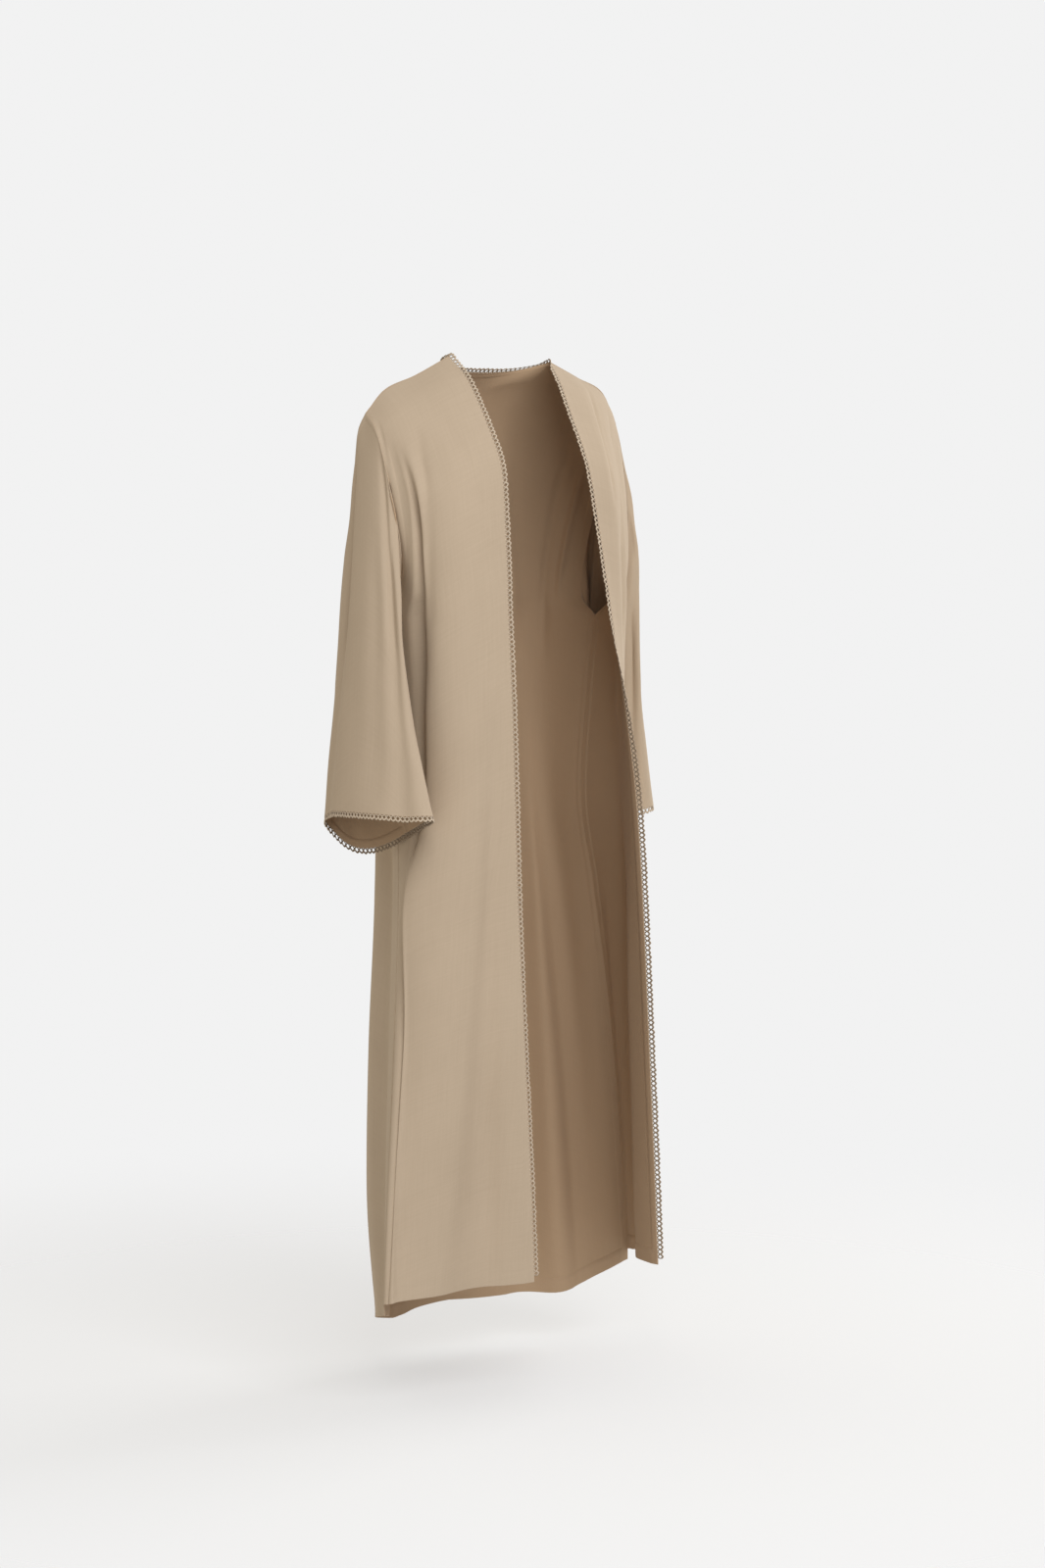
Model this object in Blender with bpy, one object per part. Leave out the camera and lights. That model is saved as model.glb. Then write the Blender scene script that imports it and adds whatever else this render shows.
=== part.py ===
"""An open abaya cloak as it hangs when worn: two fronts, a back and two wide dropped sleeves of crepe, with
a narrow crochet edging on both front edges, round the back of the neck and on both cuffs.

Metres, +Z up. The wearer faces -Y, so the right front and sleeve are at -X. The origin is the middle of the
neck opening, level with the two points where the shoulder seams meet the neck."""

from collections import namedtuple

import bpy
import numpy as np

# Driving sizes
WALL = 0.002
SEAM_GAP = 0.00034
EDGING_WIDTH = 0.0095
EDGING_WALL = 0.0018
EDGING_HEM_CLEARANCE = 0.008
LARGEST_MITRE = 2.2

# How finely the cloth is divided
FRONT_COLUMNS = 12
NECK_COLUMNS = 8
ARMHOLE_ROWS = 11
SKIRT_ROWS = 18
SLEEVE_ROWS = 14

CLOTH_COLOUR = (0.56, 0.47, 0.37, 1.0)
EDGING_COLOUR = (0.60, 0.51, 0.41, 1.0)

# Rows run from the shoulder seam down to the hem, and the one named here is level with the underarm
UNDERARM = 6

# Across a front: the open edge, the fall from the middle of the shoulder, the side ridge and the seam
FrontRow = namedtuple("FrontRow", "edge chest ridge seam")
FRONT_SHARES = (0.0, 5 / 12, 9 / 12, 1.0)

RIGHT_FRONT = (
    FrontRow((-0.097, 0.000, 0.000), (-0.153, 0.008, -0.030), (-0.204, 0.016, -0.054), (-0.232, 0.020, -0.087)),
    FrontRow((-0.102, -0.055, -0.040), (-0.160, -0.046, -0.064), (-0.212, -0.028, -0.092), (-0.236, -0.010, -0.112)),
    FrontRow((-0.106, -0.112, -0.116), (-0.166, -0.102, -0.135), (-0.216, -0.066, -0.155), (-0.236, -0.032, -0.162)),
    FrontRow((-0.108, -0.142, -0.172), (-0.169, -0.130, -0.190), (-0.219, -0.094, -0.210), (-0.232, -0.050, -0.225)),
    FrontRow((-0.108, -0.151, -0.260), (-0.168, -0.142, -0.272), (-0.220, -0.102, -0.290), (-0.223, -0.056, -0.300)),
    FrontRow((-0.107, -0.154, -0.320), (-0.165, -0.146, -0.330), (-0.217, -0.102, -0.342), (-0.214, -0.034, -0.354)),
    FrontRow((-0.107, -0.156, -0.375), (-0.163, -0.148, -0.378), (-0.216, -0.101, -0.382), (-0.207, 0.010, -0.384)),
    FrontRow((-0.105, -0.162, -0.500), (-0.161, -0.151, -0.500), (-0.216, -0.100, -0.500), (-0.199, 0.000, -0.500)),
    FrontRow((-0.102, -0.166, -0.660), (-0.166, -0.154, -0.660), (-0.219, -0.104, -0.660), (-0.206, -0.020, -0.660)),
    FrontRow((-0.098, -0.167, -0.800), (-0.176, -0.160, -0.800), (-0.252, -0.104, -0.800), (-0.231, -0.056, -0.800)),
    FrontRow((-0.090, -0.169, -1.000), (-0.187, -0.160, -1.000), (-0.272, -0.122, -1.000), (-0.266, -0.092, -1.000)),
    FrontRow((-0.079, -0.170, -1.200), (-0.193, -0.153, -1.200), (-0.294, -0.132, -1.200), (-0.289, -0.108, -1.200)),
    FrontRow((-0.071, -0.170, -1.355), (-0.200, -0.148, -1.358), (-0.308, -0.140, -1.362), (-0.303, -0.117, -1.366)),
)

LEFT_FRONT = (
    FrontRow((0.097, 0.000, 0.000), (0.153, 0.003, -0.021), (0.204, 0.005, -0.043), (0.232, 0.007, -0.087)),
    FrontRow((0.082, -0.045, -0.035), (0.148, -0.040, -0.050), (0.202, -0.022, -0.078), (0.233, 0.000, -0.112)),
    FrontRow((0.073, -0.080, -0.080), (0.142, -0.080, -0.104), (0.200, -0.042, -0.138), (0.233, -0.012, -0.162)),
    FrontRow((0.071, -0.124, -0.160), (0.140, -0.114, -0.178), (0.196, -0.060, -0.204), (0.228, -0.026, -0.225)),
    FrontRow((0.083, -0.135, -0.255), (0.145, -0.122, -0.268), (0.193, -0.070, -0.288), (0.219, -0.030, -0.300)),
    FrontRow((0.092, -0.139, -0.318), (0.149, -0.121, -0.330), (0.189, -0.068, -0.342), (0.210, -0.014, -0.354)),
    FrontRow((0.101, -0.141, -0.375), (0.152, -0.117, -0.378), (0.185, -0.062, -0.382), (0.203, 0.020, -0.384)),
    FrontRow((0.116, -0.147, -0.500), (0.157, -0.102, -0.500), (0.184, -0.048, -0.500), (0.190, 0.022, -0.500)),
    FrontRow((0.128, -0.157, -0.660), (0.163, -0.090, -0.660), (0.181, -0.036, -0.660), (0.186, 0.030, -0.660)),
    FrontRow((0.135, -0.163, -0.800), (0.173, -0.085, -0.800), (0.205, -0.028, -0.800), (0.212, 0.032, -0.800)),
    FrontRow((0.143, -0.168, -1.000), (0.188, -0.080, -1.000), (0.234, -0.020, -1.000), (0.248, 0.036, -1.000)),
    FrontRow((0.148, -0.176, -1.200), (0.198, -0.078, -1.200), (0.256, -0.014, -1.200), (0.272, 0.040, -1.200)),
    FrontRow((0.149, -0.184, -1.355), (0.204, -0.076, -1.360), (0.272, -0.010, -1.372), (0.290, 0.045, -1.382)),
)

# Across the back, between the two seams. The nape columns end where the shoulder seams meet the neck.
BackRow = namedtuple("BackRow", "seam_right blade_right nape_right centre nape_left blade_left seam_left")
BACK_SHARES = (0, 6, 12, 16, 20, 26, 32)

BACK = (
    BackRow(
        (-0.232, 0.020, -0.087), (-0.168, 0.010, -0.037), (-0.097, 0.000, 0.000), (0.000, 0.066, -0.016),
        (0.097, 0.000, 0.000), (0.168, 0.004, -0.026), (0.232, 0.007, -0.087),
    ),
    BackRow(
        (-0.236, 0.034, -0.112), (-0.170, 0.052, -0.074), (-0.088, 0.060, -0.042), (0.000, 0.097, -0.052),
        (0.088, 0.060, -0.042), (0.170, 0.050, -0.066), (0.234, 0.024, -0.112),
    ),
    BackRow(
        (-0.234, 0.044, -0.162), (-0.170, 0.086, -0.134), (-0.086, 0.104, -0.105), (0.000, 0.119, -0.110),
        (0.086, 0.104, -0.105), (0.170, 0.088, -0.130), (0.233, 0.042, -0.162),
    ),
    BackRow(
        (-0.229, 0.056, -0.225), (-0.170, 0.106, -0.205), (-0.086, 0.125, -0.185), (0.000, 0.130, -0.187),
        (0.086, 0.125, -0.185), (0.170, 0.110, -0.205), (0.229, 0.058, -0.225),
    ),
    BackRow(
        (-0.220, 0.066, -0.300), (-0.168, 0.116, -0.290), (-0.087, 0.132, -0.278), (0.000, 0.134, -0.278),
        (0.087, 0.132, -0.278), (0.168, 0.120, -0.290), (0.220, 0.070, -0.300),
    ),
    BackRow(
        (-0.212, 0.052, -0.354), (-0.165, 0.116, -0.348), (-0.088, 0.131, -0.342), (0.000, 0.133, -0.342),
        (0.088, 0.131, -0.342), (0.165, 0.121, -0.348), (0.211, 0.064, -0.354),
    ),
    BackRow(
        (-0.207, 0.010, -0.384), (-0.163, 0.116, -0.385), (-0.088, 0.129, -0.385), (0.000, 0.131, -0.385),
        (0.088, 0.129, -0.385), (0.163, 0.120, -0.385), (0.203, 0.020, -0.384),
    ),
    BackRow(
        (-0.199, 0.000, -0.500), (-0.164, 0.098, -0.502), (-0.089, 0.122, -0.504), (0.000, 0.126, -0.505),
        (0.089, 0.123, -0.504), (0.160, 0.108, -0.502), (0.190, 0.022, -0.500),
    ),
    BackRow(
        (-0.206, -0.020, -0.660), (-0.170, 0.070, -0.666), (-0.092, 0.118, -0.672), (0.000, 0.124, -0.675),
        (0.092, 0.120, -0.672), (0.160, 0.104, -0.666), (0.186, 0.030, -0.660),
    ),
    BackRow(
        (-0.231, -0.056, -0.800), (-0.184, 0.052, -0.812), (-0.097, 0.118, -0.824), (0.000, 0.125, -0.828),
        (0.096, 0.120, -0.824), (0.172, 0.102, -0.812), (0.212, 0.032, -0.800),
    ),
    BackRow(
        (-0.266, -0.092, -1.000), (-0.198, 0.046, -1.022), (-0.104, 0.119, -1.044), (0.000, 0.127, -1.052),
        (0.102, 0.119, -1.044), (0.186, 0.094, -1.022), (0.248, 0.036, -1.000),
    ),
    BackRow(
        (-0.289, -0.108, -1.200), (-0.203, 0.044, -1.234), (-0.108, 0.119, -1.264), (0.000, 0.127, -1.276),
        (0.106, 0.117, -1.264), (0.196, 0.086, -1.232), (0.272, 0.040, -1.200),
    ),
    BackRow(
        (-0.303, -0.117, -1.366), (-0.197, 0.038, -1.410), (-0.110, 0.118, -1.436), (0.000, 0.126, -1.430),
        (0.108, 0.114, -1.430), (0.202, 0.080, -1.426), (0.290, 0.045, -1.382),
    ),
)

# The back hem hangs this far below the front hem at each side seam
BACK_HEM_STEP = 0.017

# Below the armhole a sleeve is a row of ovals, given by the outer and inner ends of each, the place and half
# the size of it from front to back, and how far the part behind and inside the wrist dips below the rest
SleeveRow = namedtuple("SleeveRow", "outer_x outer_z inner_x inner_z middle_y half_depth dip")

# Where round each cuff the cloth stays highest, and how narrowly its dip keeps to the side across from there
RIGHT_DIP = (np.radians(45), 4)
LEFT_DIP = (np.radians(65), 3)
RIGHT_SLEEVE = (
    SleeveRow(-0.243, -0.170, -0.219, -0.412, 0.003, 0.060, 0.000),
    SleeveRow(-0.256, -0.270, -0.227, -0.452, -0.008, 0.070, 0.000),
    SleeveRow(-0.271, -0.380, -0.232, -0.510, -0.022, 0.081, 0.002),
    SleeveRow(-0.290, -0.490, -0.235, -0.578, -0.039, 0.095, 0.012),
    SleeveRow(-0.309, -0.580, -0.233, -0.628, -0.057, 0.111, 0.034),
    SleeveRow(-0.328, -0.661, -0.228, -0.664, -0.074, 0.121, 0.058),
)

LEFT_SLEEVE = (
    SleeveRow(0.246, -0.170, 0.214, -0.412, 0.018, 0.058, 0.000),
    SleeveRow(0.254, -0.270, 0.220, -0.452, 0.028, 0.064, 0.000),
    SleeveRow(0.264, -0.380, 0.219, -0.512, 0.038, 0.072, 0.000),
    SleeveRow(0.280, -0.495, 0.213, -0.585, 0.050, 0.085, 0.004),
    SleeveRow(0.298, -0.585, 0.206, -0.640, 0.061, 0.098, 0.012),
    SleeveRow(0.317, -0.667, 0.200, -0.692, 0.072, 0.110, 0.024),
)

# A fold runs down the cloth between two places across it, given as shares of the piece's width at its upper
# and lower end. Heights are where it starts and ends, and it fades in and out over its own fade.
Fold = namedtuple("Fold", "share_top share_low z_top z_low half_width height fade")

RIGHT_FRONT_FOLDS = (
    Fold(0.74, 0.80, -0.110, -0.420, 0.013, 0.006, 0.10),
    Fold(0.66, 0.84, -0.140, -0.560, 0.014, -0.006, 0.16),
    Fold(0.46, 0.56, -0.060, -1.400, 0.034, 0.008, 0.30),
    Fold(0.24, 0.30, -0.420, -1.400, 0.030, -0.012, 0.45),
    Fold(0.10, 0.12, -0.700, -1.400, 0.026, 0.010, 0.40),
    Fold(0.78, 0.66, -0.760, -1.400, 0.030, -0.012, 0.25),
)
LEFT_FRONT_FOLDS = (
    Fold(0.46, 0.34, -0.030, -0.420, 0.018, -0.009, 0.10),
    Fold(0.66, 0.60, -0.060, -0.520, 0.020, -0.010, 0.12),
    Fold(0.56, 0.50, -0.520, -1.400, 0.032, 0.012, 0.35),
    Fold(0.26, 0.24, -0.640, -1.400, 0.028, -0.010, 0.35),
    Fold(0.84, 0.80, -0.700, -1.400, 0.028, -0.012, 0.30),
)
BACK_FOLDS = (
    Fold(0.16, 0.11, -0.420, -1.460, 0.034, -0.016, 0.35),
    Fold(0.24, 0.23, -0.160, -1.460, 0.034, 0.014, 0.45),
    Fold(0.33, 0.34, -0.420, -1.460, 0.032, -0.016, 0.45),
    Fold(0.43, 0.45, -0.560, -1.460, 0.034, 0.015, 0.45),
    Fold(0.54, 0.56, -0.460, -1.460, 0.034, -0.014, 0.50),
    Fold(0.65, 0.67, -0.180, -1.460, 0.034, 0.015, 0.45),
    Fold(0.75, 0.77, -0.460, -1.460, 0.032, -0.016, 0.40),
    Fold(0.85, 0.88, -0.560, -1.460, 0.030, 0.012, 0.40),
)
SLEEVE_FOLDS = (
    Fold(0.14, 0.13, -0.180, -0.720, 0.024, -0.008, 0.14),
    Fold(0.30, 0.31, -0.300, -0.720, 0.026, -0.009, 0.16),
    Fold(0.68, 0.69, -0.260, -0.720, 0.026, -0.009, 0.16),
    Fold(0.84, 0.86, -0.200, -0.720, 0.024, -0.008, 0.14),
)


def curve_through(knots, points, at):
    """Points at the given places on the smooth curve that passes through the points at their knots."""
    knots = np.asarray(knots, float)
    points = np.asarray(points, float)
    slopes = np.gradient(points, knots, axis=0)
    first = np.clip(np.searchsorted(knots, at, side="right") - 1, 0, len(knots) - 2)
    span = (knots[first + 1] - knots[first])[:, None]
    way = (np.asarray(at)[:, None] - knots[first][:, None]) / span
    start = points[first] + span * way * (1 - way) ** 2 * slopes[first] + way**2 * (2 * way - 3) * points[first]
    end = way**2 * (3 - 2 * way) * points[first + 1] - span * way**2 * (1 - way) * slopes[first + 1]
    return start + end


def unit(vectors):
    return vectors / np.maximum(np.linalg.norm(vectors, axis=-1, keepdims=True), 1e-12)


def smooth_step(value):
    value = np.clip(value, 0, 1)
    return value * value * (3 - 2 * value)


def row_stations():
    """Places down the table's rows at which the cloth has a row of points, in steps of one table row."""
    armhole = np.linspace(0, UNDERARM, ARMHOLE_ROWS + 1)
    skirt = np.linspace(UNDERARM, len(BACK) - 1, SKIRT_ROWS + 1)
    return np.concatenate([armhole, skirt[1:]])


def seam_line(points):
    """The seam, whose armhole and side parts meet in a corner at the underarm."""
    stations = row_stations()
    above = stations <= UNDERARM
    armhole = curve_through(range(UNDERARM + 1), points[: UNDERARM + 1], stations[above])
    side = curve_through(range(UNDERARM, len(points)), points[UNDERARM:], stations[~above])
    return np.concatenate([armhole, side])


def across_rows(table, seams, shares, columns):
    """The grid of points of a panel: smooth down each named column, then smooth across each row."""
    stations = row_stations()
    lines = []
    for index, name in enumerate(table[0]._fields):
        points = np.array([row[index] for row in table])
        if name in seams:
            lines.append(seam_line(points))
        else:
            lines.append(curve_through(range(len(points)), points, stations))
    rows = np.stack(lines, axis=1)
    places = np.linspace(shares[0], shares[-1], columns + 1)
    return np.stack([curve_through(shares, row, places) for row in rows])


def grid_normals(grid, ring):
    """Outward normals of a grid whose columns run round the body and whose rows run down it."""
    if ring:
        round_it = np.roll(grid, -1, axis=1) - np.roll(grid, 1, axis=1)
    else:
        round_it = np.gradient(grid, axis=1)
    return unit(np.cross(round_it, np.gradient(grid, axis=0)))


def folded(grid, folds, ring, free_sides):
    """The grid with its folds raised or sunk along its normals, and still where it is sewn to another piece."""
    columns = grid.shape[1]
    share = np.arange(columns) / (columns if ring else columns - 1)
    steps = np.linalg.norm(np.diff(grid, axis=1), axis=2).mean(axis=0)
    width = steps.mean() * (columns if ring else columns - 1)
    depth = np.zeros(grid.shape[:2])
    for fold in folds:
        down = np.clip((fold.z_top - grid[..., 2]) / (fold.z_top - fold.z_low), 0, 1)
        middle = fold.share_top + (fold.share_low - fold.share_top) * down
        away = (share[None, :] - middle) * width / fold.half_width
        shown = smooth_step((fold.z_top - grid[..., 2]) / fold.fade)
        shown = shown * smooth_step((grid[..., 2] - fold.z_low) / fold.fade + 0.5)
        depth += fold.height * shown * np.exp(-(away**2))
    if not ring:
        sewn = [side for side in (0, 1) if side not in free_sides]
        for side in sewn:
            depth *= smooth_step(np.abs(share - side) * width / 0.03)[None, :]
    return grid + depth[..., None] * grid_normals(grid, ring)


def front_grid(table, folds):
    """A front, with its columns from the open edge to the side."""
    grid = across_rows(table, ("seam",), FRONT_SHARES, FRONT_COLUMNS)
    turned = grid if table is RIGHT_FRONT else grid[:, ::-1]
    mirrored = folds if table is RIGHT_FRONT else [fold._replace(
        share_top=1 - fold.share_top, share_low=1 - fold.share_low) for fold in folds]
    return folded(turned, mirrored, ring=False, free_sides=(0,) if table is RIGHT_FRONT else (1,))


def neck_line(start, middle, end):
    """The back of the neck, half an oval through its middle."""
    turn = np.linspace(0, np.pi, NECK_COLUMNS + 1)[:, None]
    start, middle, end = (np.array(point) for point in (start, middle, end))
    return (start + end) / 2 + (end - start) / 2 * -np.cos(turn) + (middle - (start + end) / 2) * np.sin(turn)


def back_grid(right_front, left_front):
    """The back, with its columns from the right side to the left. Its top row is sewn to both fronts."""
    grid = across_rows(BACK, ("seam_right", "seam_left"), BACK_SHARES, BACK_SHARES[-1])
    grid = folded(grid, BACK_FOLDS, ring=False, free_sides=())
    shoulder_right = right_front[0, ::-1]
    shoulder_left = left_front[0, ::-1]
    neck = neck_line(BACK[0].nape_right, BACK[0].centre, BACK[0].nape_left)
    grid[0] = np.concatenate([shoulder_right, neck[1:-1], shoulder_left])
    across = np.abs(np.linspace(-1, 1, grid.shape[1]))
    hem = grid[-1] + np.array([0, 0, -BACK_HEM_STEP]) * (0.6 + 0.4 * across[:, None])
    return np.concatenate([grid, hem[None]])


def sleeve_grid(front_armhole, back_armhole, table, folds):
    """A sleeve, with its columns round it from the top of the shoulder, and its rows down to the cuff."""
    toward_back = table is RIGHT_SLEEVE
    first, second = (back_armhole, front_armhole) if toward_back else (front_armhole, back_armhole)
    armhole = np.concatenate([first, second[::-1][1:-1]])
    turn = np.linspace(0, 2 * np.pi, len(armhole), endpoint=False)
    front = -np.sin(turn) if toward_back else np.sin(turn)
    outer = np.cos(turn)
    high_side, narrowness = RIGHT_DIP if toward_back else LEFT_DIP
    rings = [armhole]
    for row in table:
        x = (row.outer_x + row.inner_x) / 2 + (row.outer_x - row.inner_x) / 2 * outer
        y = row.middle_y - row.half_depth * front
        z = (row.outer_z + row.inner_z) / 2 + (row.outer_z - row.inner_z) / 2 * outer
        away = (1 - np.cos(np.arctan2(front, outer) - high_side)) / 2
        z = z - row.dip * away**narrowness
        rings.append(np.stack([x, y, z], axis=1))
    rings = np.stack(rings)
    steps = np.linalg.norm(np.diff(rings, axis=0), axis=2).mean(axis=1)
    knots = np.concatenate([[0], np.cumsum(steps)])
    places = np.linspace(0, knots[-1], SLEEVE_ROWS + 1)
    lines = [curve_through(knots, rings[:, column], places) for column in range(len(armhole))]
    grid = np.stack(lines, axis=1)
    return folded(grid, folds, ring=True, free_sides=())


def shared_offsets(grids, rings):
    """How far in from each outer point its inner one is: the same for pieces that share a point at a seam."""
    normals = [grid_normals(grid, name in rings).reshape(-1, 3) for name, grid in grids.items()]
    points = np.concatenate([grid.reshape(-1, 3) for grid in grids.values()])
    keys = np.round(points * 1e6).astype(np.int64)
    _, index = np.unique(keys, axis=0, return_inverse=True)
    index = index.reshape(-1)
    total = np.zeros((index.max() + 1, 3))
    np.add.at(total, index, np.concatenate(normals))
    mean = total / np.bincount(index)[:, None]
    length = np.linalg.norm(mean, axis=1, keepdims=True)
    inward = (-WALL * mean / length * np.minimum(1 / length, LARGEST_MITRE))[index]
    cuts = np.cumsum([grid.shape[0] * grid.shape[1] for grid in grids.values()])[:-1]
    return {
        name: part.reshape(grid.shape)
        for (name, grid), part in zip(grids.items(), np.split(inward, cuts))
    }


def parted(grid, sides):
    """The grid drawn back by half a seam's gap along the named sides."""
    grid = grid.copy()
    half = SEAM_GAP / 2
    if "left" in sides:
        grid[:, 0] += half * unit(grid[:, 1] - grid[:, 0])
    if "right" in sides:
        grid[:, -1] += half * unit(grid[:, -2] - grid[:, -1])
    if "top" in sides:
        grid[0] += half * unit(grid[1] - grid[0])
    return grid


def rim_faces(points, first, second, count):
    """Two triangles of a wall's rim. Their diagonal starts at the higher outer point, in both pieces of a seam."""
    if points[first][2] >= points[second][2]:
        return [(first, first + count, second + count), (first, second + count, second)]
    return [(first, first + count, second), (first + count, second + count, second)]


def shell_faces(points, rows, columns, ring):
    """Faces of a closed wall between an outer and an inner grid, turned outward."""
    count = rows * columns
    around = columns if ring else columns - 1
    faces = []
    rims = []
    for column in range(around):
        following = (column + 1) % columns
        for row in range(rows - 1):
            a = row * columns + column
            b = row * columns + following
            faces.append((a, b, b + columns, a + columns))
            faces.append((a + count, a + columns + count, b + columns + count, b + count))
        low = (rows - 1) * columns
        rims += [(column, following), (low + following, low + column)]
    if not ring:
        for row in range(rows - 1):
            a = row * columns
            b = a + columns - 1
            rims += [(a + columns, a), (b, b + columns)]
    for first, second in rims:
        faces += rim_faces(points, first, second, count)
    return faces


def add_shell(name, outer, inner, ring, material, collection):
    """One closed wall as an object of its own."""
    rows, columns = outer.shape[:2]
    points = np.concatenate([outer.reshape(-1, 3), inner.reshape(-1, 3)])
    mesh = bpy.data.meshes.new(name)
    mesh.from_pydata(points.tolist(), [], shell_faces(points, rows, columns, ring))
    mesh.materials.append(material)
    mesh.shade_smooth()
    mesh.set_sharp_from_angle(angle=np.radians(40))
    obj = bpy.data.objects.new(name, mesh)
    collection.objects.link(obj)
    return obj


def edging_walls(edge, inward, direction):
    """Outer and inner grids of a strip that continues the cloth past its edge, in the given direction."""
    start = edge + direction * SEAM_GAP
    end = edge + direction * (SEAM_GAP + EDGING_WIDTH)
    outer = np.stack([start, end], axis=1)
    through = unit(inward)[:, None]
    margin = (WALL - EDGING_WALL) / 2
    return outer + through * margin, outer + through * (margin + EDGING_WALL)


def shortened(line, other, clearance):
    """A line's points with its last one moved back, for an edging that stops above the hem."""
    line, other = line.copy(), other.copy()
    step = line[-2] - line[-1]
    share = clearance / np.linalg.norm(step)
    line[-1] += step * share
    other[-1] += (other[-2] - other[-1]) * share
    return line, other


def add_front_edging(name, grid, inward, column, neighbour, corner, material, collection):
    """The edging of a front, from the neck down to just above the hem."""
    edge, into = shortened(grid[:, column], inward[:, column], EDGING_HEM_CLEARANCE)
    direction = unit(edge - grid[:, neighbour])
    direction[0] = corner
    direction -= unit(into) * np.sum(direction * unit(into), axis=1, keepdims=True)
    outer, inner = edging_walls(edge, into, unit(direction))
    if column == 0:
        outer, inner = outer[:, ::-1], inner[:, ::-1]
    outer, inner = parted(outer, ("top",)), parted(inner, ("top",))
    add_shell(name, outer, inner, False, material, collection)


def add_neck_edging(grid, inward, corners, material, collection):
    """The edging round the back of the neck, between the two fronts' edgings."""
    span = slice(FRONT_COLUMNS, FRONT_COLUMNS + NECK_COLUMNS + 1)
    edge, into = grid[0, span], inward[0, span]
    direction = unit(edge - grid[1, span])
    direction[0], direction[-1] = corners
    direction -= unit(into) * np.sum(direction * unit(into), axis=1, keepdims=True)
    outer, inner = edging_walls(edge, into, unit(direction))
    outer, inner = outer.transpose(1, 0, 2)[::-1], inner.transpose(1, 0, 2)[::-1]
    sides = ("left", "right")
    add_shell("edging_neck", parted(outer, sides), parted(inner, sides), False, material, collection)


def add_cuff_edging(name, grid, inward, material, collection):
    """The edging of a cuff, a ring below the sleeve's end."""
    direction = unit(grid[-1] - grid[-2])
    outer, inner = edging_walls(grid[-1], inward[-1], direction)
    add_shell(name, outer.transpose(1, 0, 2), inner.transpose(1, 0, 2), True, material, collection)


def corner_direction(front, back, front_column, front_neighbour, back_column):
    """Where the two edgings meet at the neck, halfway between the directions that each would take."""
    from_front = unit(front[0, front_column] - front[0, front_neighbour])
    from_back = unit(back[0, back_column] - back[1, back_column])
    return unit(from_front + from_back)


def material_of(name, colour, roughness):
    material = bpy.data.materials.new(name)
    material.use_nodes = True
    shader = material.node_tree.nodes["Principled BSDF"]
    shader.inputs["Base Color"].default_value = colour
    shader.inputs["Roughness"].default_value = roughness
    shader.inputs["Metallic"].default_value = 0.0
    return material


def build_cloth(collection):
    """The five pieces of crepe. Returns their outer grids and the offsets to their inner ones."""
    right = front_grid(RIGHT_FRONT, RIGHT_FRONT_FOLDS)
    left = front_grid(LEFT_FRONT, LEFT_FRONT_FOLDS)
    back = back_grid(right, left)
    armhole = slice(0, ARMHOLE_ROWS + 1)
    grids = {
        "front_right": right,
        "front_left": left,
        "back": back,
        "sleeve_right": sleeve_grid(right[armhole, -1], back[armhole, 0], RIGHT_SLEEVE, SLEEVE_FOLDS),
        "sleeve_left": sleeve_grid(left[armhole, 0], back[armhole, -1], LEFT_SLEEVE, SLEEVE_FOLDS),
    }
    sewn = {
        "front_right": ("top", "right"),
        "front_left": ("top", "left"),
        "back": ("left", "right", "top"),
        "sleeve_right": ("top",),
        "sleeve_left": ("top",),
    }
    rings = ("sleeve_right", "sleeve_left")
    inward = shared_offsets(grids, rings)
    for name, grid in grids.items():
        outer = parted(grid, sewn[name])
        inner = parted(grid + inward[name], sewn[name])
        add_shell(name, outer, inner, name in rings, material_of(name, CLOTH_COLOUR, 0.85), collection)
    return grids, inward


def build_edgings(grids, inward, collection):
    """The five strips of crochet edging."""
    first_nape, last_nape = FRONT_COLUMNS, FRONT_COLUMNS + NECK_COLUMNS
    corner_right = corner_direction(grids["front_right"], grids["back"], 0, 1, first_nape)
    corner_left = corner_direction(grids["front_left"], grids["back"], -1, -2, last_nape)
    for side, column, neighbour, corner in (("right", 0, 1, corner_right), ("left", -1, -2, corner_left)):
        add_front_edging(
            f"edging_front_{side}", grids[f"front_{side}"], inward[f"front_{side}"], column, neighbour, corner,
            material_of(f"edging_front_{side}", EDGING_COLOUR, 0.9), collection,
        )
        add_cuff_edging(
            f"edging_cuff_{side}", grids[f"sleeve_{side}"], inward[f"sleeve_{side}"],
            material_of(f"edging_cuff_{side}", EDGING_COLOUR, 0.9), collection,
        )
    add_neck_edging(
        grids["back"], inward["back"], (corner_right, corner_left),
        material_of("edging_neck", EDGING_COLOUR, 0.9), collection,
    )


def main():
    for obj in list(bpy.data.objects):
        bpy.data.objects.remove(obj, do_unlink=True)
    collection = bpy.data.collections.new("abaya_cloak")
    bpy.context.scene.collection.children.link(collection)
    grids, inward = build_cloth(collection)
    build_edgings(grids, inward, collection)


main()
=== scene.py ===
"""How an open abaya cloak looks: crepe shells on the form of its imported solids, and a crochet edging of
diamond picots on both front edges, round the neck and on both cuffs.

Metres, +Z up. The wearer faces -Y, so the right front and sleeve are at -X."""

import math
from collections import namedtuple
from functools import lru_cache

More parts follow.
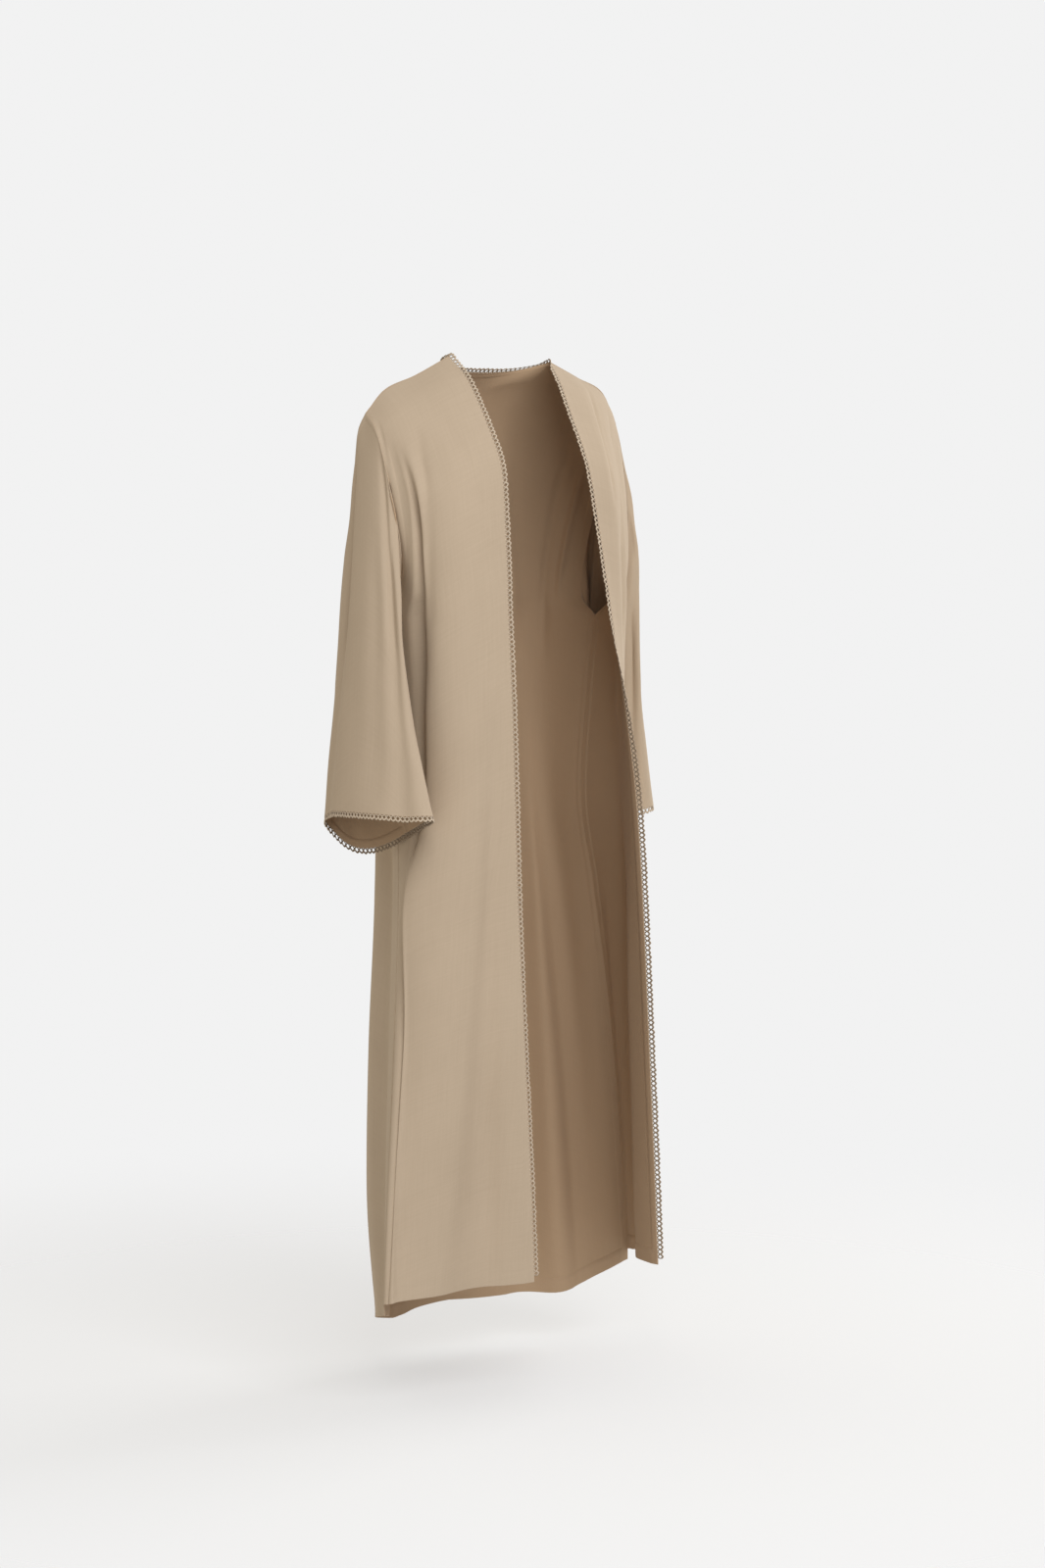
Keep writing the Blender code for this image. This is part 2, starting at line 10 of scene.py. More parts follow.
import bpy
import numpy as np
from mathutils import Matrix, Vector


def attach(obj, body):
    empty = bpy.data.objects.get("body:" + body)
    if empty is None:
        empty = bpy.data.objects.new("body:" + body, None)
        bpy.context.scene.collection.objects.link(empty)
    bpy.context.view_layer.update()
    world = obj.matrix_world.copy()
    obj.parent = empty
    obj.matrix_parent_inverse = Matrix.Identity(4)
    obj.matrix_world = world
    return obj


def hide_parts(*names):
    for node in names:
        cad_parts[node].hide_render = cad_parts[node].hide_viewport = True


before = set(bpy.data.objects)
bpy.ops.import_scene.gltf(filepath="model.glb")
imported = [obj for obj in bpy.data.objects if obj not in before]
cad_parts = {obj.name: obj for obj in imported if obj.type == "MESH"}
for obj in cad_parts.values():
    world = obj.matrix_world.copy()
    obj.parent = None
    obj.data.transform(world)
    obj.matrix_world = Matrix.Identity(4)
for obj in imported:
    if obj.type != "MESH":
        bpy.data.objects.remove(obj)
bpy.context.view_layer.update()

bl_info = {
    "name": "Open abaya cloak",
    "version": (1, 0, 0),
    "blender": (4, 5, 0),
    "location": "View3D > Sidebar > Abaya",
    "description": "Crepe cloak with a crochet edging, built round its packed solids",
    "category": "Add Mesh",
}

# How finely the cloth is divided: columns across a front, round the neck and round an armhole, and rows down
FINER = 6
FRONT_COLUMNS = 12 * FINER
NECK_COLUMNS = 8 * FINER
ARMHOLE_ROWS = 66
SKIRT_ROWS = 150
SLEEVE_ROWS = 112
BACK_HEM_ROWS = 3

# Rows run from the shoulder seam down to the hem, and the one named here is level with the underarm
UNDERARM = 6


def rows_of(kind, *rows):
    """A panel's rows of points, from lines that give each point's x, y and z in millimetres."""
    return tuple(kind(*(np.array(row) / 1000).reshape(-1, 3).tolist()) for row in rows)


# Across a front: the open edge, the fall from the middle of the shoulder, the side ridge and the seam
FrontRow = namedtuple("FrontRow", "edge chest ridge seam")
FRONT_SHARES = (0.0, 5 / 12, 9 / 12, 1.0)

RIGHT_FRONT = rows_of(
    FrontRow,
    (-97, 0, 0, -153, 8, -30, -204, 16, -54, -232, 20, -87),
    (-102, -55, -40, -160, -46, -64, -212, -28, -92, -236, -10, -112),
    (-106, -112, -116, -166, -102, -135, -216, -66, -155, -236, -32, -162),
    (-108, -142, -172, -169, -130, -190, -219, -94, -210, -232, -50, -225),
    (-108, -151, -260, -168, -142, -272, -220, -102, -290, -223, -56, -300),
    (-107, -154, -320, -165, -146, -330, -217, -102, -342, -214, -34, -354),
    (-107, -156, -375, -163, -148, -378, -216, -101, -382, -207, 10, -384),
    (-105, -162, -500, -161, -151, -500, -216, -100, -500, -199, 0, -500),
    (-102, -166, -660, -166, -154, -660, -219, -104, -660, -206, -20, -660),
    (-98, -167, -800, -176, -160, -800, -252, -104, -800, -231, -56, -800),
    (-90, -169, -1000, -187, -160, -1000, -272, -122, -1000, -266, -92, -1000),
    (-79, -170, -1200, -193, -153, -1200, -294, -132, -1200, -289, -108, -1200),
    (-71, -170, -1355, -200, -148, -1358, -308, -140, -1362, -303, -117, -1366),
)

LEFT_FRONT = rows_of(
    FrontRow,
    (97, 0, 0, 153, 3, -21, 204, 5, -43, 232, 7, -87),
    (82, -45, -35, 148, -40, -50, 202, -22, -78, 233, 0, -112),
    (73, -80, -80, 142, -80, -104, 200, -42, -138, 233, -12, -162),
    (71, -124, -160, 140, -114, -178, 196, -60, -204, 228, -26, -225),
    (83, -135, -255, 145, -122, -268, 193, -70, -288, 219, -30, -300),
    (92, -139, -318, 149, -121, -330, 189, -68, -342, 210, -14, -354),
    (101, -141, -375, 152, -117, -378, 185, -62, -382, 203, 20, -384),
    (116, -147, -500, 157, -102, -500, 184, -48, -500, 190, 22, -500),
    (128, -157, -660, 163, -90, -660, 181, -36, -660, 186, 30, -660),
    (135, -163, -800, 173, -85, -800, 205, -28, -800, 212, 32, -800),
    (143, -168, -1000, 188, -80, -1000, 234, -20, -1000, 248, 36, -1000),
    (148, -176, -1200, 198, -78, -1200, 256, -14, -1200, 272, 40, -1200),
    (149, -184, -1355, 204, -76, -1360, 272, -10, -1372, 290, 45, -1382),
)

# Across the back, between the two seams. The nape columns end where the shoulder seams meet the neck.
BackRow = namedtuple("BackRow", "seam_right blade_right nape_right centre nape_left blade_left seam_left")
BACK_SHARES = (0, 6, 12, 16, 20, 26, 32)

BACK = rows_of(
    BackRow,
    (-232, 20, -87, -168, 10, -37, -97, 0, 0, 0, 66, -16,
     97, 0, 0, 168, 4, -26, 232, 7, -87),
    (-236, 34, -112, -170, 52, -74, -88, 60, -42, 0, 97, -52,
     88, 60, -42, 170, 50, -66, 234, 24, -112),
    (-234, 44, -162, -170, 86, -134, -86, 104, -105, 0, 119, -110,
     86, 104, -105, 170, 88, -130, 233, 42, -162),
    (-229, 56, -225, -170, 106, -205, -86, 125, -185, 0, 130, -187,
     86, 125, -185, 170, 110, -205, 229, 58, -225),
    (-220, 66, -300, -168, 116, -290, -87, 132, -278, 0, 134, -278,
     87, 132, -278, 168, 120, -290, 220, 70, -300),
    (-212, 52, -354, -165, 116, -348, -88, 131, -342, 0, 133, -342,
     88, 131, -342, 165, 121, -348, 211, 64, -354),
    (-207, 10, -384, -163, 116, -385, -88, 129, -385, 0, 131, -385,
     88, 129, -385, 163, 120, -385, 203, 20, -384),
    (-199, 0, -500, -164, 98, -502, -89, 122, -504, 0, 126, -505,
     89, 123, -504, 160, 108, -502, 190, 22, -500),
    (-206, -20, -660, -170, 70, -666, -92, 118, -672, 0, 124, -675,
     92, 120, -672, 160, 104, -666, 186, 30, -660),
    (-231, -56, -800, -184, 52, -812, -97, 118, -824, 0, 125, -828,
     96, 120, -824, 172, 102, -812, 212, 32, -800),
    (-266, -92, -1000, -198, 46, -1022, -104, 119, -1044, 0, 127, -1052,
     102, 119, -1044, 186, 94, -1022, 248, 36, -1000),
    (-289, -108, -1200, -203, 44, -1234, -108, 119, -1264, 0, 127, -1276,
     106, 117, -1264, 196, 86, -1232, 272, 40, -1200),
    (-303, -117, -1366, -197, 38, -1410, -110, 118, -1436, 0, 126, -1430,
     108, 114, -1430, 202, 80, -1426, 290, 45, -1382),
)

# The back hem hangs this far below the front hem at each side seam
BACK_HEM_STEP = 0.017

# Below the armhole a sleeve is a row of ovals, given by the outer and inner ends of each, the place and half
# the size of it from front to back, and how far the part behind and inside the wrist dips below the rest
SleeveRow = namedtuple("SleeveRow", "outer_x outer_z inner_x inner_z middle_y half_depth dip")


def sleeve_of(*rows):
    """A sleeve's ovals, from lines in millimetres."""
    return tuple(SleeveRow(*(value / 1000 for value in row)) for row in rows)


# Where round each cuff the cloth stays highest, and how narrowly its dip keeps to the side across from there
RIGHT_DIP = (np.radians(45), 4)
LEFT_DIP = (np.radians(65), 3)
RIGHT_SLEEVE = sleeve_of(
    (-243, -170, -219, -412, 3, 60, 0),
    (-256, -270, -227, -452, -8, 70, 0),
    (-271, -380, -232, -510, -22, 81, 2),
    (-290, -490, -235, -578, -39, 95, 12),
    (-309, -580, -233, -628, -57, 111, 34),
    (-328, -661, -228, -664, -74, 121, 58),
)

LEFT_SLEEVE = sleeve_of(
    (246, -170, 214, -412, 18, 58, 0),
    (254, -270, 220, -452, 28, 64, 0),
    (264, -380, 219, -512, 38, 72, 0),
    (280, -495, 213, -585, 50, 85, 4),
    (298, -585, 206, -640, 61, 98, 12),
    (317, -667, 200, -692, 72, 110, 24),
)

# A fold runs down the cloth between two places across it, given as shares of the piece's width at its upper
# and lower end. Heights are where it starts and ends, and it fades in and out over its own fade.
Fold = namedtuple("Fold", "share_top share_low z_top z_low half_width height fade")


def folds_of(*folds):
    """Folds, from lines that give both shares in hundredths and the rest in millimetres."""
    return tuple(Fold(fold[0] / 100, fold[1] / 100, *(value / 1000 for value in fold[2:])) for fold in folds)


RIGHT_FRONT_FOLDS = folds_of(
    (74, 80, -110, -420, 13, 6, 100),
    (66, 84, -140, -560, 14, -6, 160),
    (46, 56, -60, -1400, 34, 8, 300),
    (24, 30, -420, -1400, 30, -12, 450),
    (10, 12, -700, -1400, 26, 10, 400),
    (78, 66, -760, -1400, 30, -12, 250),
)
LEFT_FRONT_FOLDS = folds_of(
    (46, 34, -30, -420, 18, -9, 100),
    (66, 60, -60, -520, 20, -10, 120),
    (56, 50, -520, -1400, 32, 12, 350),
    (26, 24, -640, -1400, 28, -10, 350),
    (84, 80, -700, -1400, 28, -12, 300),
)
BACK_FOLDS = folds_of(
    (16, 11, -420, -1460, 34, -16, 350),
    (24, 23, -160, -1460, 34, 14, 450),
    (33, 34, -420, -1460, 32, -16, 450),
    (43, 45, -560, -1460, 34, 15, 450),
    (54, 56, -460, -1460, 34, -14, 500),
    (65, 67, -180, -1460, 34, 15, 450),
    (75, 77, -460, -1460, 32, -16, 400),
    (85, 88, -560, -1460, 30, 12, 400),
)
SLEEVE_FOLDS = folds_of(
    (14, 13, -180, -720, 24, -8, 140),
    (30, 31, -300, -720, 26, -9, 160),
    (68, 69, -260, -720, 26, -9, 160),
    (84, 86, -200, -720, 24, -8, 140),
)

# Finer creases, which are too small for the solids
RIGHT_FRONT_CREASES = folds_of(
    (90, 93, -110, -330, 6.5, -6.5, 70),
    (96, 98.5, -90, -170, 5, -4, 40),
    (60, 79, -80, -300, 8, -3, 90),
    (80, 80, -140, -700, 6.2, -18.5, 120),
    (93, 93, -200, -640, 10, 8.5, 120),
    (48, 26, -50, -230, 16, -2.2, 80),
    (80, 72, -720, -1420, 7, 5, 120),
    (84, 81, -720, -1240, 9, -14, 140),
    (90, 86, -860, -1420, 9, 4, 160),
    (80, 84, -1080, -1420, 8, -5, 160),
    (40, 52, -900, -1420, 16, 3, 250),
    (18, 22, -980, -1420, 18, -4.5, 250),
)
LEFT_FRONT_CREASES = folds_of(
    (40, 28, -20, -200, 8, -5, 60),
    (50, 36, -40, -260, 10, 3.5, 80),
    (62, 52, -50, -340, 8, -5, 90),
    (86, 84, -110, -300, 7, -5, 70),
    (30, 34, -700, -1420, 14, 3.5, 250),
    (66, 62, -820, -1420, 14, -4.5, 250),
)
BACK_CREASES = folds_of(
    (6, 9, -120, -340, 8, -5.5, 80),
    (13, 16, -90, -420, 10, 4, 100),
    (94, 91, -120, -340, 8, -5.5, 80),
    (87, 84, -90, -420, 10, 4, 100),
    (38, 28, -70, -380, 14, -3, 120),
    (62, 72, -70, -380, 14, -3, 120),
    (20, 17, -760, -1470, 12, 4, 220),
    (38, 40, -900, -1470, 12, -4, 220),
    (49, 50, -840, -1470, 13, 4.5, 250),
    (60, 61, -920, -1470, 12, -3.5, 220),
    (81, 84, -760, -1470, 12, 4, 220),
)
SLEEVE_CREASES = folds_of(
    (90, 86, -120, -420, 11, -4.5, 80),
    (80, 76, -160, -380, 9, 4, 80),
    (94, 93, -220, -640, 16, -3.5, 160),
    (10, 13, -120, -420, 11, -4.5, 80),
    (21, 24, -200, -520, 10, 4, 100),
    (40, 38, -400, -700, 12, -4, 100),
    (60, 63, -400, -700, 12, -4, 100),
    (74, 72, -420, -720, 14, 4, 120),
)


def curve_through(knots, points, at):
    """Points at the given places on the smooth curve that passes through the points at their knots."""
    knots = np.asarray(knots, float)
    points = np.asarray(points, float)
    slopes = np.gradient(points, knots, axis=0)
    first = np.clip(np.searchsorted(knots, at, side="right") - 1, 0, len(knots) - 2)
    span = (knots[first + 1] - knots[first])[:, None]
    way = (np.asarray(at)[:, None] - knots[first][:, None]) / span
    start = points[first] + span * way * (1 - way) ** 2 * slopes[first]
    start = start + way**2 * (2 * way - 3) * points[first]
    end = way**2 * (3 - 2 * way) * points[first + 1] - span * way**2 * (1 - way) * slopes[first + 1]
    return start + end


# Folds and swells fade out this far from where the cloth is sewn or ends
STILL_REACH = 0.03
# Below this height, over this distance, the left front's open edge turns outward: how far out, how far in
# from the edge, and the share by which its edging leans out with it
CURL_TOP, CURL_FADE = -0.36, 0.30
CURL_HEIGHT, CURL_REACH = 0.007, 0.026
EDGING_TURN = 0.6
# The back leans over to meet the shoulder seam this far down
SHOULDER_BLEND = 0.045


def unit(vectors):
    return vectors / np.maximum(np.linalg.norm(vectors, axis=-1, keepdims=True), 1e-12)


def smooth_step(value):
    value = np.clip(value, 0, 1)
    return value * value * (3 - 2 * value)


def row_stations():
    """Places down the table's rows at which the cloth has a row of points, in steps of one table row."""
    armhole = np.linspace(0, UNDERARM, ARMHOLE_ROWS + 1)
    skirt = np.linspace(UNDERARM, len(BACK) - 1, SKIRT_ROWS + 1)
    return np.concatenate([armhole, skirt[1:]])


def seam_line(points):
    """The seam, whose armhole and side parts meet in a corner at the underarm."""
    stations = row_stations()
    above = stations <= UNDERARM
    armhole = curve_through(range(UNDERARM + 1), points[: UNDERARM + 1], stations[above])
    side = curve_through(range(UNDERARM, len(points)), points[UNDERARM:], stations[~above])
    return np.concatenate([armhole, side])


def across_rows(table, seams, shares, columns):
    """The grid of points of a panel: smooth down each named column, then smooth across each row."""
    stations = row_stations()
    lines = []
    for index, name in enumerate(table[0]._fields):
        points = np.array([row[index] for row in table])
        if name in seams:
            lines.append(seam_line(points))
        else:
            lines.append(curve_through(range(len(points)), points, stations))
    rows = np.stack(lines, axis=1)
    places = np.linspace(shares[0], shares[-1], columns + 1)
    return np.stack([curve_through(shares, row, places) for row in rows])


def grid_normals(grid, ring):
    """Outward normals of a grid whose columns run round the body and whose rows run down it."""
    if ring:
        round_it = np.roll(grid, -1, axis=1) - np.roll(grid, 1, axis=1)
    else:
        round_it = np.gradient(grid, axis=1)
    return unit(np.cross(round_it, np.gradient(grid, axis=0)))


def folded(grid, folds, ring, free_sides):
    """The grid with its folds raised or sunk along its normals, and still where it is sewn on."""
    columns = grid.shape[1]
    share = np.arange(columns) / (columns if ring else columns - 1)
    steps = np.linalg.norm(np.diff(grid, axis=1), axis=2).mean(axis=0)
    width = steps.mean() * (columns if ring else columns - 1)
    depth = np.zeros(grid.shape[:2])
    sewn = () if ring else [side for side in (0, 1) if side not in free_sides]
    for fold in folds:
        down = np.clip((fold.z_top - grid[..., 2]) / (fold.z_top - fold.z_low), 0, 1)
        middle = fold.share_top + (fold.share_low - fold.share_top) * down
        away = (share[None, :] - middle) * width / fold.half_width
        shown = smooth_step((fold.z_top - grid[..., 2]) / fold.fade)
        shown = shown * smooth_step((grid[..., 2] - fold.z_low) / fold.fade + 0.5)
        still = min(STILL_REACH, 2 * fold.half_width)
        for side in sewn:
            shown = shown * smooth_step(np.abs(share - side) * width / still)[None, :]
        depth += fold.height * shown * np.exp(-(away**2))
    return grid + depth[..., None] * grid_normals(grid, ring)


def front_grid(table, folds):
    """A front, with its columns from the wearer's right to the left."""
    grid = across_rows(table, ("seam",), FRONT_SHARES, FRONT_COLUMNS)
    if table is RIGHT_FRONT:
        return folded(grid, folds, ring=False, free_sides=(0,))
    folds = [fold._replace(share_top=1 - fold.share_top, share_low=1 - fold.share_low) for fold in folds]
    return folded(grid[:, ::-1], folds, ring=False, free_sides=(1,))


def neck_line(start, middle, end):
    """The back of the neck, half an oval through its middle."""
    turn = np.linspace(0, np.pi, NECK_COLUMNS + 1)[:, None]
    start, middle, end = (np.array(point) for point in (start, middle, end))
    return (start + end) / 2 + (end - start) / 2 * -np.cos(turn) + (middle - (start + end) / 2) * np.sin(turn)


def back_grid(right_front, left_front):
    """The back, with its columns from the right side to the left. Its top row is sewn to both fronts."""
    grid = across_rows(BACK, ("seam_right", "seam_left"), BACK_SHARES, BACK_SHARES[-1] * FINER)
    grid = folded(grid, BACK_FOLDS + BACK_CREASES, ring=False, free_sides=())
    shoulder_right = right_front[0, ::-1]
    shoulder_left = left_front[0, ::-1]
    neck = neck_line(BACK[0].nape_right, BACK[0].centre, BACK[0].nape_left)
    top = np.concatenate([shoulder_right, neck[1:-1], shoulder_left])
    down = np.concatenate([np.zeros((1, grid.shape[1])), np.cumsum(
        np.linalg.norm(np.diff(grid, axis=0), axis=2), axis=0)])
    grid = grid + (top - grid[0])[None] * (np.clip(1 - down / SHOULDER_BLEND, 0, 1) ** 1.5)[..., None]
    across = np.abs(np.linspace(-1, 1, grid.shape[1]))
    step = np.array([0, 0, -BACK_HEM_STEP]) * (0.6 + 0.4 * across[:, None])
    hem = [grid[-1] + step * share for share in np.linspace(0, 1, BACK_HEM_ROWS + 1)[1:]]
    return np.concatenate([grid, np.stack(hem)])


def sleeve_grid(front_armhole, back_armhole, table, folds):
    """A sleeve, with its columns round it from the top of the shoulder, and its rows down to the cuff."""
    toward_back = table is RIGHT_SLEEVE
    first, second = (back_armhole, front_armhole) if toward_back else (front_armhole, back_armhole)
    armhole = np.concatenate([first, second[::-1][1:-1]])
    turn = np.linspace(0, 2 * np.pi, len(armhole), endpoint=False)
    front = -np.sin(turn) if toward_back else np.sin(turn)
    outer = np.cos(turn)
    high_side, narrowness = RIGHT_DIP if toward_back else LEFT_DIP
    rings = [armhole]
    for row in table:
        x = (row.outer_x + row.inner_x) / 2 + (row.outer_x - row.inner_x) / 2 * outer
        y = row.middle_y - row.half_depth * front
        z = (row.outer_z + row.inner_z) / 2 + (row.outer_z - row.inner_z) / 2 * outer
        away = (1 - np.cos(np.arctan2(front, outer) - high_side)) / 2
        z = z - row.dip * away**narrowness
        rings.append(np.stack([x, y, z], axis=1))
    rings = np.stack(rings)
    steps = np.linalg.norm(np.diff(rings, axis=0), axis=2).mean(axis=1)
    knots = np.concatenate([[0], np.cumsum(steps)])
    places = np.linspace(0, knots[-1], SLEEVE_ROWS + 1)
    lines = [curve_through(knots, rings[:, column], places) for column in range(len(armhole))]
    grid = np.stack(lines, axis=1)
    return folded(grid, folds, ring=True, free_sides=())


def curl_share(heights):
    return smooth_step((CURL_TOP - heights) / CURL_FADE)


def curled(grid, side):
    """The grid with one side edge turned outward below the chest."""
    share = (1 - distance_from(grid, side) / CURL_REACH).clip(0, 1) ** 2
    return grid + (share * curl_share(grid[..., 2]) * CURL_HEIGHT)[..., None] * grid_normals(grid, False)


@lru_cache(maxsize=None)
def cloth_grids():
    """The outer face of each of the five pieces of crepe, as grids of points."""
    right = front_grid(RIGHT_FRONT, RIGHT_FRONT_FOLDS + RIGHT_FRONT_CREASES)
    left = curled(front_grid(LEFT_FRONT, LEFT_FRONT_FOLDS + LEFT_FRONT_CREASES), "right")
    back = back_grid(right, left)
    armhole = slice(0, ARMHOLE_ROWS + 1)
    sleeve_folds = SLEEVE_FOLDS + SLEEVE_CREASES
    return {
        "front_right": right,
        "front_left": left,
        "back": back,
        "sleeve_right": sleeve_grid(right[armhole, -1], back[armhole, 0], RIGHT_SLEEVE, sleeve_folds),
        "sleeve_left": sleeve_grid(left[armhole, 0], back[armhole, -1], LEFT_SLEEVE, sleeve_folds),
    }


def turned_to(grid, side):
    """The grid with the named side as its last row."""
    if side == "bottom":
        return grid
    if side == "top":
        return grid[::-1]
    across = grid.transpose(1, 0, 2)
    return across if side == "right" else across[::-1]


def turned_back(grid, side):
    """The grid as it was before turned_to."""
    if side in ("bottom", "top"):
        return turned_to(grid, side)
    return grid.transpose(1, 0, 2) if side == "right" else grid[::-1].transpose(1, 0, 2)


def distance_from(grid, side):
    """How far each point is from the named side, along the cloth."""
    turned = turned_to(grid, side)
    steps = np.linalg.norm(np.diff(turned, axis=0), axis=2)
    far = np.concatenate([np.cumsum(steps[::-1], axis=0)[::-1], np.zeros((1, turned.shape[1]))])
    return turned_back(far[..., None], side)[..., 0]


def lines_near_side(grid, side, distances):
    """The grid with lines of points at exact distances from one side, in place of those that were there."""
    turned = turned_to(grid, side)
    far = distance_from(turned, "bottom")
    kept = turned[far.min(axis=1) > distances[0] + 0.002]
    columns = range(turned.shape[1])
    added = [
        np.stack([
            [np.interp(distance, far[::-1, column], turned[::-1, column, axis]) for axis in range(3)]
            for column in columns
        ])
        for distance in distances
    ]
    return turned_back(np.concatenate([kept, np.stack(added), turned[-1:]]), side)


# Swells of the cloth: how many a piece has, how high they are, the least and most of half their width and
# of half their length, and how far they lean
SWELLS = 26
SWELL_HEIGHT = 0.0011
SWELL_WIDTHS = (0.014, 0.038)
SWELL_LENGTHS = (0.07, 0.20)
SWELL_LEAN = 0.12


def uneven(grid, seed):
    """The grid with soft long swells and hollows of the hand, none of them at its sides."""
    draw = np.random.default_rng(seed)
    along = distance_from(grid, "top")
    across = distance_from(grid, "left")
    edge = np.minimum.reduce([distance_from(grid, side) for side in ("top", "bottom", "left", "right")])
    depth = np.zeros(grid.shape[:2])
    for _ in range(SWELLS):
        middle_across = draw.uniform(0, across.max())
        middle_down = draw.uniform(0, along.max())
        half_across = draw.uniform(*SWELL_WIDTHS)
        half_down = draw.uniform(*SWELL_LENGTHS)
        lean = draw.uniform(-SWELL_LEAN, SWELL_LEAN)
        away = (across - middle_across - lean * (along - middle_down)) / half_across
        swell = np.exp(-away**2 - ((along - middle_down) / half_down) ** 2)
        depth += draw.uniform(-1, 1) * SWELL_HEIGHT * swell
    return grid + (depth * smooth_step(edge / STILL_REACH))[..., None] * grid_normals(grid, False)


def boundary_loop(rows, columns):
    """Indices of a grid's boundary in the order in which its outer faces meet it."""
    index = np.arange(rows * columns).reshape(rows, columns)
    return np.concatenate([index[0, :-1], index[:-1, -1], index[-1, :0:-1], index[:0:-1, 0]])


def boundary_outward(grid):
    """Directions that lead out of the cloth at each point of its boundary."""
    out = np.zeros_like(grid)
    out[0] += unit(grid[0] - grid[1])
    out[-1] += unit(grid[-1] - grid[-2])
    out[:, 0] += unit(grid[:, 0] - grid[:, 1])
    out[:, -1] += unit(grid[:, -1] - grid[:, -2])
    return unit(out)


def new_piece(name, points, faces, map_name, places, values, material):
    """A mesh object with its points' places on a UV map, and named values at each point."""
    mesh = bpy.data.meshes.new(name)
    mesh.from_pydata(points.tolist(), [], faces)
    corners = np.zeros(len(mesh.loops), np.int32)
    mesh.loops.foreach_get("vertex_index", corners)
    mesh.uv_layers.new(name=map_name)
    mesh.uv_layers[map_name].data.foreach_set("uv", places[corners].astype(np.float32).ravel())
    for title, numbers in values.items():
        mesh.attributes.new(title, "FLOAT", "POINT").data.foreach_set("value", numbers.astype(np.float32))
    mesh.shade_smooth()
    mesh.materials.append(material)
    obj = bpy.data.objects.new(name, mesh)
    bpy.context.scene.collection.objects.link(obj)
    return obj


def add_cloth(name, outer, thickness, normals, hem_line, material):
    """A piece of cloth with two faces and a rounded rim, laid out in metres on its UV map."""
    rows, columns = outer.shape[:2]
    count = rows * columns
    inner = outer - normals * thickness[..., None]
    loop = boundary_loop(rows, columns)
    out = boundary_outward(outer).reshape(-1, 3)[loop]
    upper, lower = outer.reshape(-1, 3)[loop], inner.reshape(-1, 3)[loop]
    half = (upper - lower) / 2
    rims = []
    for turn in np.radians((50, 0, -50)):
        reach = np.linalg.norm(half, axis=1, keepdims=True) * math.cos(turn)
        rims.append((upper + lower) / 2 + half * math.sin(turn) + out * reach)
    points = np.concatenate([outer.reshape(-1, 3), inner.reshape(-1, 3), *rims])
    index = np.arange(count).reshape(rows, columns)
    a, b = index[:-1, :-1].ravel(), index[:-1, 1:].ravel()
    c, d = index[1:, 1:].ravel(), index[1:, :-1].ravel()
    faces = [np.stack([a, b, c, d], 1), np.stack([a, d, c, b], 1) + count]
    ring = np.arange(len(loop))
    following = np.roll(ring, -1)
    strips = [loop, *(2 * count + step * len(loop) + ring for step in range(len(rims))), loop + count]
    for first, second in zip(strips, strips[1:]):
        faces.append(np.stack([first[following], first, second, second[following]], 1))
    along = distance_from(outer, "top")
    across = distance_from(outer, "left")
    across = across - across[:, columns // 2][:, None]
    places = np.stack([across, along], axis=-1).reshape(-1, 2)
    places = np.concatenate([places, places] + [places[loop]] * len(rims))
    inside = np.concatenate([np.zeros(count), np.ones(count)] + [np.full(len(loop), 0.5)] * len(rims))
    hem_line = hem_line.ravel()
    hem_line = np.concatenate([hem_line, hem_line] + [hem_line[loop]] * len(rims))
    values = {"hem_line": hem_line, "inside": inside}
    return new_piece(name, points, np.concatenate(faces).tolist(), "cloth", places, values, material)


# Distances from a seam, from the stitches of a turned edge, and from the edge itself, at which the cloth has
# lines of points
SEAM_LINES = (0.013, 0.0105, 0.0095, 0.006, 0.003, 0.0012)
STITCH_LINES = (0.0015, 0.0005, -0.0005)
EDGE_LINES = (0.006, 0.002, 0.0006)

# A seam's allowance, how thick it is in layers of cloth, and the relief that sewing leaves on the outer face
SEAM_ALLOWANCE, SEAM_LAYERS = 0.010, 0.8
GROOVE_DEPTH, GROOVE_WIDTH = 0.0006, 0.0016
PRESSED_HEIGHT, PRESSED_END, PRESSED_FADE = 0.00045, 0.011, 0.002
PUCKER_HEIGHT, PUCKER_WIDTH, PUCKER_STEP, PUCKER_DRIFT = 0.00022, 0.006, 0.0021, 0.013
HEM_HEIGHT, HEM_FADE = 0.00014, 0.001


def turned_lines(depth, before, *between):
    """Where an edge turned in by that depth has lines of points."""
    return (depth + before, *(depth + step for step in STITCH_LINES), *between, *EDGE_LINES)


